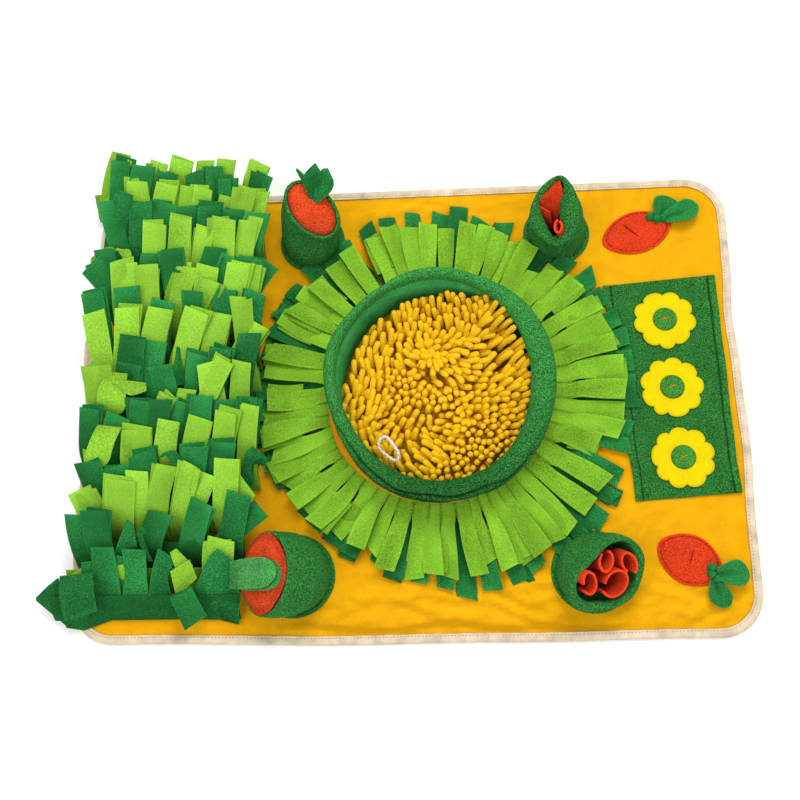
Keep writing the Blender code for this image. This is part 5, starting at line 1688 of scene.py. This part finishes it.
def build_pouches():
    rng = random.Random(77)
    far_left, far_right, near_left, near_right = pouches = [Pouch(row) for row in POUCHES]
    for i, pouch in enumerate(pouches):
        make_pouch(pouch, 3 * i + 1)
    make_plug("carrot_far_top", "carrot_tl", far_left, 0, 0, 3)
    make_plug("carrot_near_top", "carrot_bl", near_left, 3 * MM, 0.22, 5)
    for number, roll in enumerate(ROLLS_NEAR, 1):
        make_curl(f"curl_near_{number}", f"roll_br_{number}", near_right, roll, number)
    make_curl("curl_far", "strip_tr_2", far_right, ROLL_FAR, 12)
    bm = new_mesh()
    for sections in FOLDS_FAR:
        cut_strip(bm, Ruled(sections, 0, rng), 2 * MM, rng.uniform(0, 0.1), 0.2, along=16)
    piece = dress("folds_far", bm, cloth("roll_fleece"), "roll_fleece", ["strip_tr_1"])
    bm = new_mesh()
    for number, sections in enumerate(UPRIGHT_LEAVES):
        cut_strip(bm, Ruled(sections, number != 2, rng), 1.8 * MM, rng.uniform(-0.05, 0.1), 0.2, along=16)
    piece = dress("carrot_leaves_far", bm, cloth("dark_fleece"), "dark_fleece", ["carrot_tl_leaves"])
    bm = new_mesh()
    for number, sections in enumerate(LEAF_TAB):
        # the lower layer is darkened with painted shade
        cut_strip(bm, Ruled(sections, 1, rng), 2.2 * MM, 0.12 - 0.1 * number, 0.2, along=24)
    piece = dress("carrot_leaf_near", bm, cloth("leaf_fleece"), "leaf_fleece", ["carrot_bl_leaf"])


class SNUFFLE_OT_pouches(bpy.types.Operator):
    """Four fleece pouches with their carrots, curls and leaves"""

    bl_idname = "snuffle_mat.pouches"
    bl_label = "Pouches"

    def execute(self, context):
        build_pouches()
        return {"FINISHED"}


# Felt ------------------------


# Share of a felt piece's radius and of its thickness, from the middle of its underside to that of its top
FELT_RINGS = (
    (0, 0), (0.5, 0), (0.97, 0), (1, 0.35), (1, 0.75), (0.975, 1), (0.9, 1), (0.72, 1), (0.45, 1), (0.2, 1),
    (0, 1),
)
# The same with a line pressed in beside the edge
PRESSED_RINGS = (
    (0, 0), (0.5, 0), (0.97, 0), (1, 0.35), (1, 0.8), (0.975, 1.1), (0.93, 1.15), (0.9, 0.8), (0.875, 0.7),
    (0.85, 0.95), (0.72, 1), (0.45, 1), (0.2, 1), (0, 1),
)
# Flower centres' crossed threads: turn (radians, times the flower's number) and half length (mm) of each
CROSS_ARMS = ((0.15, 6.5), (2.0, 2.6))
# Slopes of the flat leaves at their root and at their tip
BLADE_RISE, BLADE_FALL = math.radians(34), math.radians(-20)


def felt_disc(bm, centre, outline, floor, thick, around, dome=0.0, pressed=False, edge_painted_light=0.12):
    """A cut piece of felt: outline gives its radius at each angle."""
    rings = PRESSED_RINGS if pressed else FELT_RINGS
    steps = len(rings) - 1

    def place(u, v):
        share, rise = rings[round(v * steps)]
        angle = math.tau * u
        spot = centre + outline(angle) * share
        swell_up = dome * (1 - share**2) if rise == 1 else 0
        wave = ripple(spot, 14 * MM, 0.5 * MM) if rise == 1 else 0
        spot.z = floor + thick * rise + swell_up + wave * (share < 0.95)
        return spot

    def shade(u, v):
        # painted shade in the pressed groove, and on the edge ring a painted highlight where the edge value is
        # above nought and a painted shadow where it is below
        share, rise = rings[round(v * steps)]
        if pressed and rise < 0.85 and share < 0.95:
            return -0.3
        return edge_painted_light if share > 0.96 else 0.0

    tube(bm, around, steps, place, tone=shade)


def build_felt():
    rng = random.Random(5)
    far_left, far_right, near_right, near_left = (millimetres(x, y) for x, y in PATCH_CORNERS)
    wide = (far_right - far_left).length
    bm = new_mesh()

    def patch(u, v):
        # the hem at each side stands up behind its stitched line
        spot = near_left.lerp(near_right, u).lerp(far_left.lerp(far_right, u), v)
        past_hem = min(u, 1 - u) * wide - HEM
        raised = 1.0 * (1 - ease(past_hem / (1 * MM))) - 0.8 * hump(past_hem, 1 * MM)
        spot.z = SEAT + FELT + raised * MM + ripple(spot, 30 * MM, 0.5 * MM)
        spot.x += ripple(spot, 40 * MM, 1.6 * MM, 3)
        return spot

    def patch_shade(u, v):
        past_hem = min(u, 1 - u) * wide - HEM
        # the hem is a little lighter, and painted shade darkens the groove of its stitched line
        return 0.08 * (past_hem < 0) - 0.5 * hump(past_hem, 1 * MM)

    made, faces = sheet(bm, 160, 60, patch, tone=patch_shade)
    kept = set(made)
    thicken(bm, faces, 2 * MM)
    for vert in bm.verts:
        if vert not in kept:
            vert.co.z = SEAT
    piece = dress("patch_cloth", bm, cloth("patch_fleece"), "patch_fleece", ["flower_patch"])

    def centre_edge(angle):
        return polar(CENTRE_RADIUS, angle)

    floor = SEAT + FELT + 0.5 * MM
    for number, (x, y) in enumerate(FLOWERS, 1):
        centre = millimetres(x, y)

        def petal_edge(angle, number=number):
            uneven = 0.25 * noise.noise(polar(1.1, angle, 3 * number))
            lobe = abs(math.sin(FLOWER_LOBES * (angle + uneven * math.sin(angle / 2)) / 2)) ** 0.62
            reach = FLOWER_RADIUS * (1 + 0.05 * noise.noise(polar(1.3, angle, 7 * number)))
            return polar(reach * (1 - FLOWER_NOTCH * (1 - lobe)), angle + FLOWER_TURN * number)

        bm, node = new_mesh(), f"flower_{number}"
        # the outlines of the flower and its centre are darkened with painted shadow
        felt_disc(bm, centre, petal_edge, floor, FELT, 180, edge_painted_light=-0.3)
        piece = dress(f"felt_flower_{number}", bm, cloth("yellow_felt"), "yellow_felt", [node])
        bm, node, seat = new_mesh(), f"flower_centre_{number}", floor + FELT
        felt_disc(bm, centre, centre_edge, seat, CENTRE_THICK, 64, dome=CENTRE_DOME, edge_painted_light=-0.25)
        piece = dress(f"felt_centre_{number}", bm, cloth("centre_felt"), "leaf_fleece", [node])
        bm = new_mesh()
        top = centre + UP * (seat + 2.6 * MM)
        for turn, arm_long in CROSS_ARMS:
            arm = polar(arm_long * MM, turn * number)
            add_stitch(bm, top - arm, top + arm, 0.5 * MM, tone=-0.3)
        dress(f"cross_stitch_{number}", bm, cloth("wall_fleece"), "wall_fleece")

    for node, x, y, half_long, half_wide, tip, slit_start, slit_end in CARROTS:
        centre = millimetres(x, y)

        def egg(angle, half_long=half_long, half_wide=half_wide, tip=tip):
            u = half_long * MM * math.cos(angle)
            v = half_wide * MM * math.sin(angle) * (1 - CARROT_POINT * math.cos(angle) ** 2)
            return Matrix.Rotation(math.radians(tip), 3, "Z") @ Vector((u, v, 0))

        bm = new_mesh()
        felt_disc(bm, centre, egg, SEAT, FELT, 96, pressed=True)
        # the slit is a dark line of painted shade in the cut
        slit = [millimetres(*end) + UP * (SEAT + FELT + 0.5 * MM) for end in (slit_start, slit_end)]
        add_stitch(bm, *slit, 0.8 * MM, tone=-0.9)
        piece = dress(f"{node}_felt", bm, cloth("carrot_felt"), "carrot_felt", [node])
        area = math.pi * half_long * half_wide * MM * MM * 0.93

    for node, blades, knots in FELT_LEAVES:
        bm = new_mesh()
        area = len(knots) * 4 * KNOT_HALF * KNOT_HIGH
        for layer, (x, y, heading, reach, width) in enumerate(blades):
            root = millimetres(x, y) + UP * (SEAT + FELT + (1.5 + 2 * layer) * MM)
            # painted light makes the upper blade lighter than the one below
            turn, tone = math.radians(heading), 0.02 + 0.1 * layer
            make_blade(bm, root, turn, reach * MM, BLADE_RISE, BLADE_FALL, width * MM, rng, tone)
            area += 0.72 * reach * width * MM * MM
        for x, y, heading in knots:
            middle = millimetres(x, y) + UP * (SEAT + FELT + 3 * MM)
            side = polar(KNOT_HALF, math.radians(heading))
            add_stitch(bm, middle - side, middle + side, KNOT_HIGH, tone=0.1, around=10, along=8)
        piece = dress(f"{node}_felt", bm, cloth("dark_fleece"), "leaf_fleece", [node])
        area = min(area, 0.00225)


class SNUFFLE_OT_felt(bpy.types.Operator):
    """Flower patch, felt flowers and flat carrots"""

    bl_idname = "snuffle_mat.felt"
    bl_label = "Felt pieces"

    def execute(self, context):
        build_felt()
        return {"FINISHED"}


# Stage ------------------------


# Floor: half its side (m), how far it lies below the mat and how white it is, and how strong the sky is
FLOOR_HALF, FLOOR_DROP, FLOOR_WHITE, SKY_STRENGTH = 4, 0.4 * MM, 0.95, 0.66


def build_camera(context):
    lens = bpy.data.cameras.new("camera")
    lens.sensor_width, lens.lens = CAMERA_SENSOR, CAMERA_LENS
    lens.clip_start, lens.clip_end = 0.01, 50
    camera = bpy.data.objects.new("camera", lens)
    place = Matrix((CAMERA_RIGHT, CAMERA_UP, CAMERA_BACK)).transposed().to_4x4()
    place.translation = Vector(CAMERA_PLACE)
    camera.matrix_world = place
    context.scene.collection.objects.link(camera)
    context.scene.camera = camera


class SNUFFLE_OT_camera(bpy.types.Operator):
    """Camera high over the near side"""

    bl_idname = "snuffle_mat.camera"
    bl_label = "Camera"

    def execute(self, context):
        build_camera(context)
        return {"FINISHED"}


def build_stage(context):
    bm = bmesh.new()
    bmesh.ops.create_grid(bm, x_segments=2, y_segments=2, size=FLOOR_HALF)
    bmesh.ops.translate(bm, verts=bm.verts, vec=-UP * FLOOR_DROP)
    mesh = bpy.data.meshes.new("floor")
    bm.to_mesh(mesh)
    bm.free()
    floor = bpy.data.objects.new("floor", mesh)
    context.scene.collection.objects.link(floor)
    pale = bpy.data.materials.new("floor_white")
    pale.use_nodes = True
    shader = pale.node_tree.nodes["Principled BSDF"]
    shader.inputs["Base Color"].default_value = (FLOOR_WHITE, FLOOR_WHITE, FLOOR_WHITE, 1)
    shader.inputs["Roughness"].default_value = 0.9
    shader.inputs["Specular IOR Level"].default_value = 0.1
    mesh.materials.append(pale)
    # name, place, size (m) and power (W)
    for name, spot, size, power in (
        ("key", (0.35, 1.1, 1.9), 1.2, 27),
        ("fill", (-1.2, -0.5, 1.7), 1.6, 12),
        ("front", (0.9, -1.2, 1.5), 1.4, 9),
    ):
        light = bpy.data.lights.new(name, "AREA")
        light.shape, light.size, light.energy = "DISK", size, power
        lamp = bpy.data.objects.new(name, light)
        place = (-Vector(spot)).to_track_quat("-Z", "Y").to_matrix().to_4x4()
        place.translation = Vector(spot)
        lamp.matrix_world = place
        context.scene.collection.objects.link(lamp)
    world = bpy.data.worlds.new("studio")
    world.use_nodes = True
    sky = world.node_tree.nodes["Background"]
    sky.inputs["Color"].default_value = (1, 1, 1, 1)
    sky.inputs["Strength"].default_value = SKY_STRENGTH
    context.scene.world = world
    context.scene.view_settings.view_transform = "Standard"


class SNUFFLE_OT_stage(bpy.types.Operator):
    """Pale floor and soft studio light"""

    bl_idname = "snuffle_mat.stage"
    bl_label = "Stage"

    def execute(self, context):
        build_stage(context)
        return {"FINISHED"}


class SNUFFLE_PT_panel(bpy.types.Panel):
    """Lists the mat's pieces"""

    bl_label = "Snuffle mat"
    bl_idname = "SNUFFLE_PT_panel"
    bl_space_type = "VIEW_3D"
    bl_region_type = "UI"
    bl_category = "Snuffle mat"

    def draw(self, context):
        for key in SnuffleMatProps.__annotations__:
            self.layout.prop(context.scene.snuffle_mat, key)
        for operator in OPERATORS:
            self.layout.operator(operator.bl_idname)


OPERATORS = (
    SNUFFLE_OT_camera,
    SNUFFLE_OT_loop,
    SNUFFLE_OT_stage,
    SNUFFLE_OT_mat,
    SNUFFLE_OT_binding,
    SNUFFLE_OT_grass,
    SNUFFLE_OT_skirts,
    SNUFFLE_OT_bowl,
    SNUFFLE_OT_noodles,
    SNUFFLE_OT_pouches,
    SNUFFLE_OT_felt,
)
CLASSES = (SnuffleMatProps, *OPERATORS, SNUFFLE_PT_panel)


def register():
    for kind in CLASSES:
        bpy.utils.register_class(kind)
    bpy.types.Scene.snuffle_mat = bpy.props.PointerProperty(type=SnuffleMatProps)


def unregister():
    del bpy.types.Scene.snuffle_mat
    for kind in reversed(CLASSES):
        bpy.utils.unregister_class(kind)


def main():
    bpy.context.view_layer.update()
    register()
    for operator in OPERATORS:
        group, name = operator.bl_idname.split(".")
        if getattr(getattr(bpy.ops, group), name)() != {"FINISHED"}:
            raise RuntimeError(f"{operator.bl_idname} didn't finish")


if __name__ == "__main__":
    main()
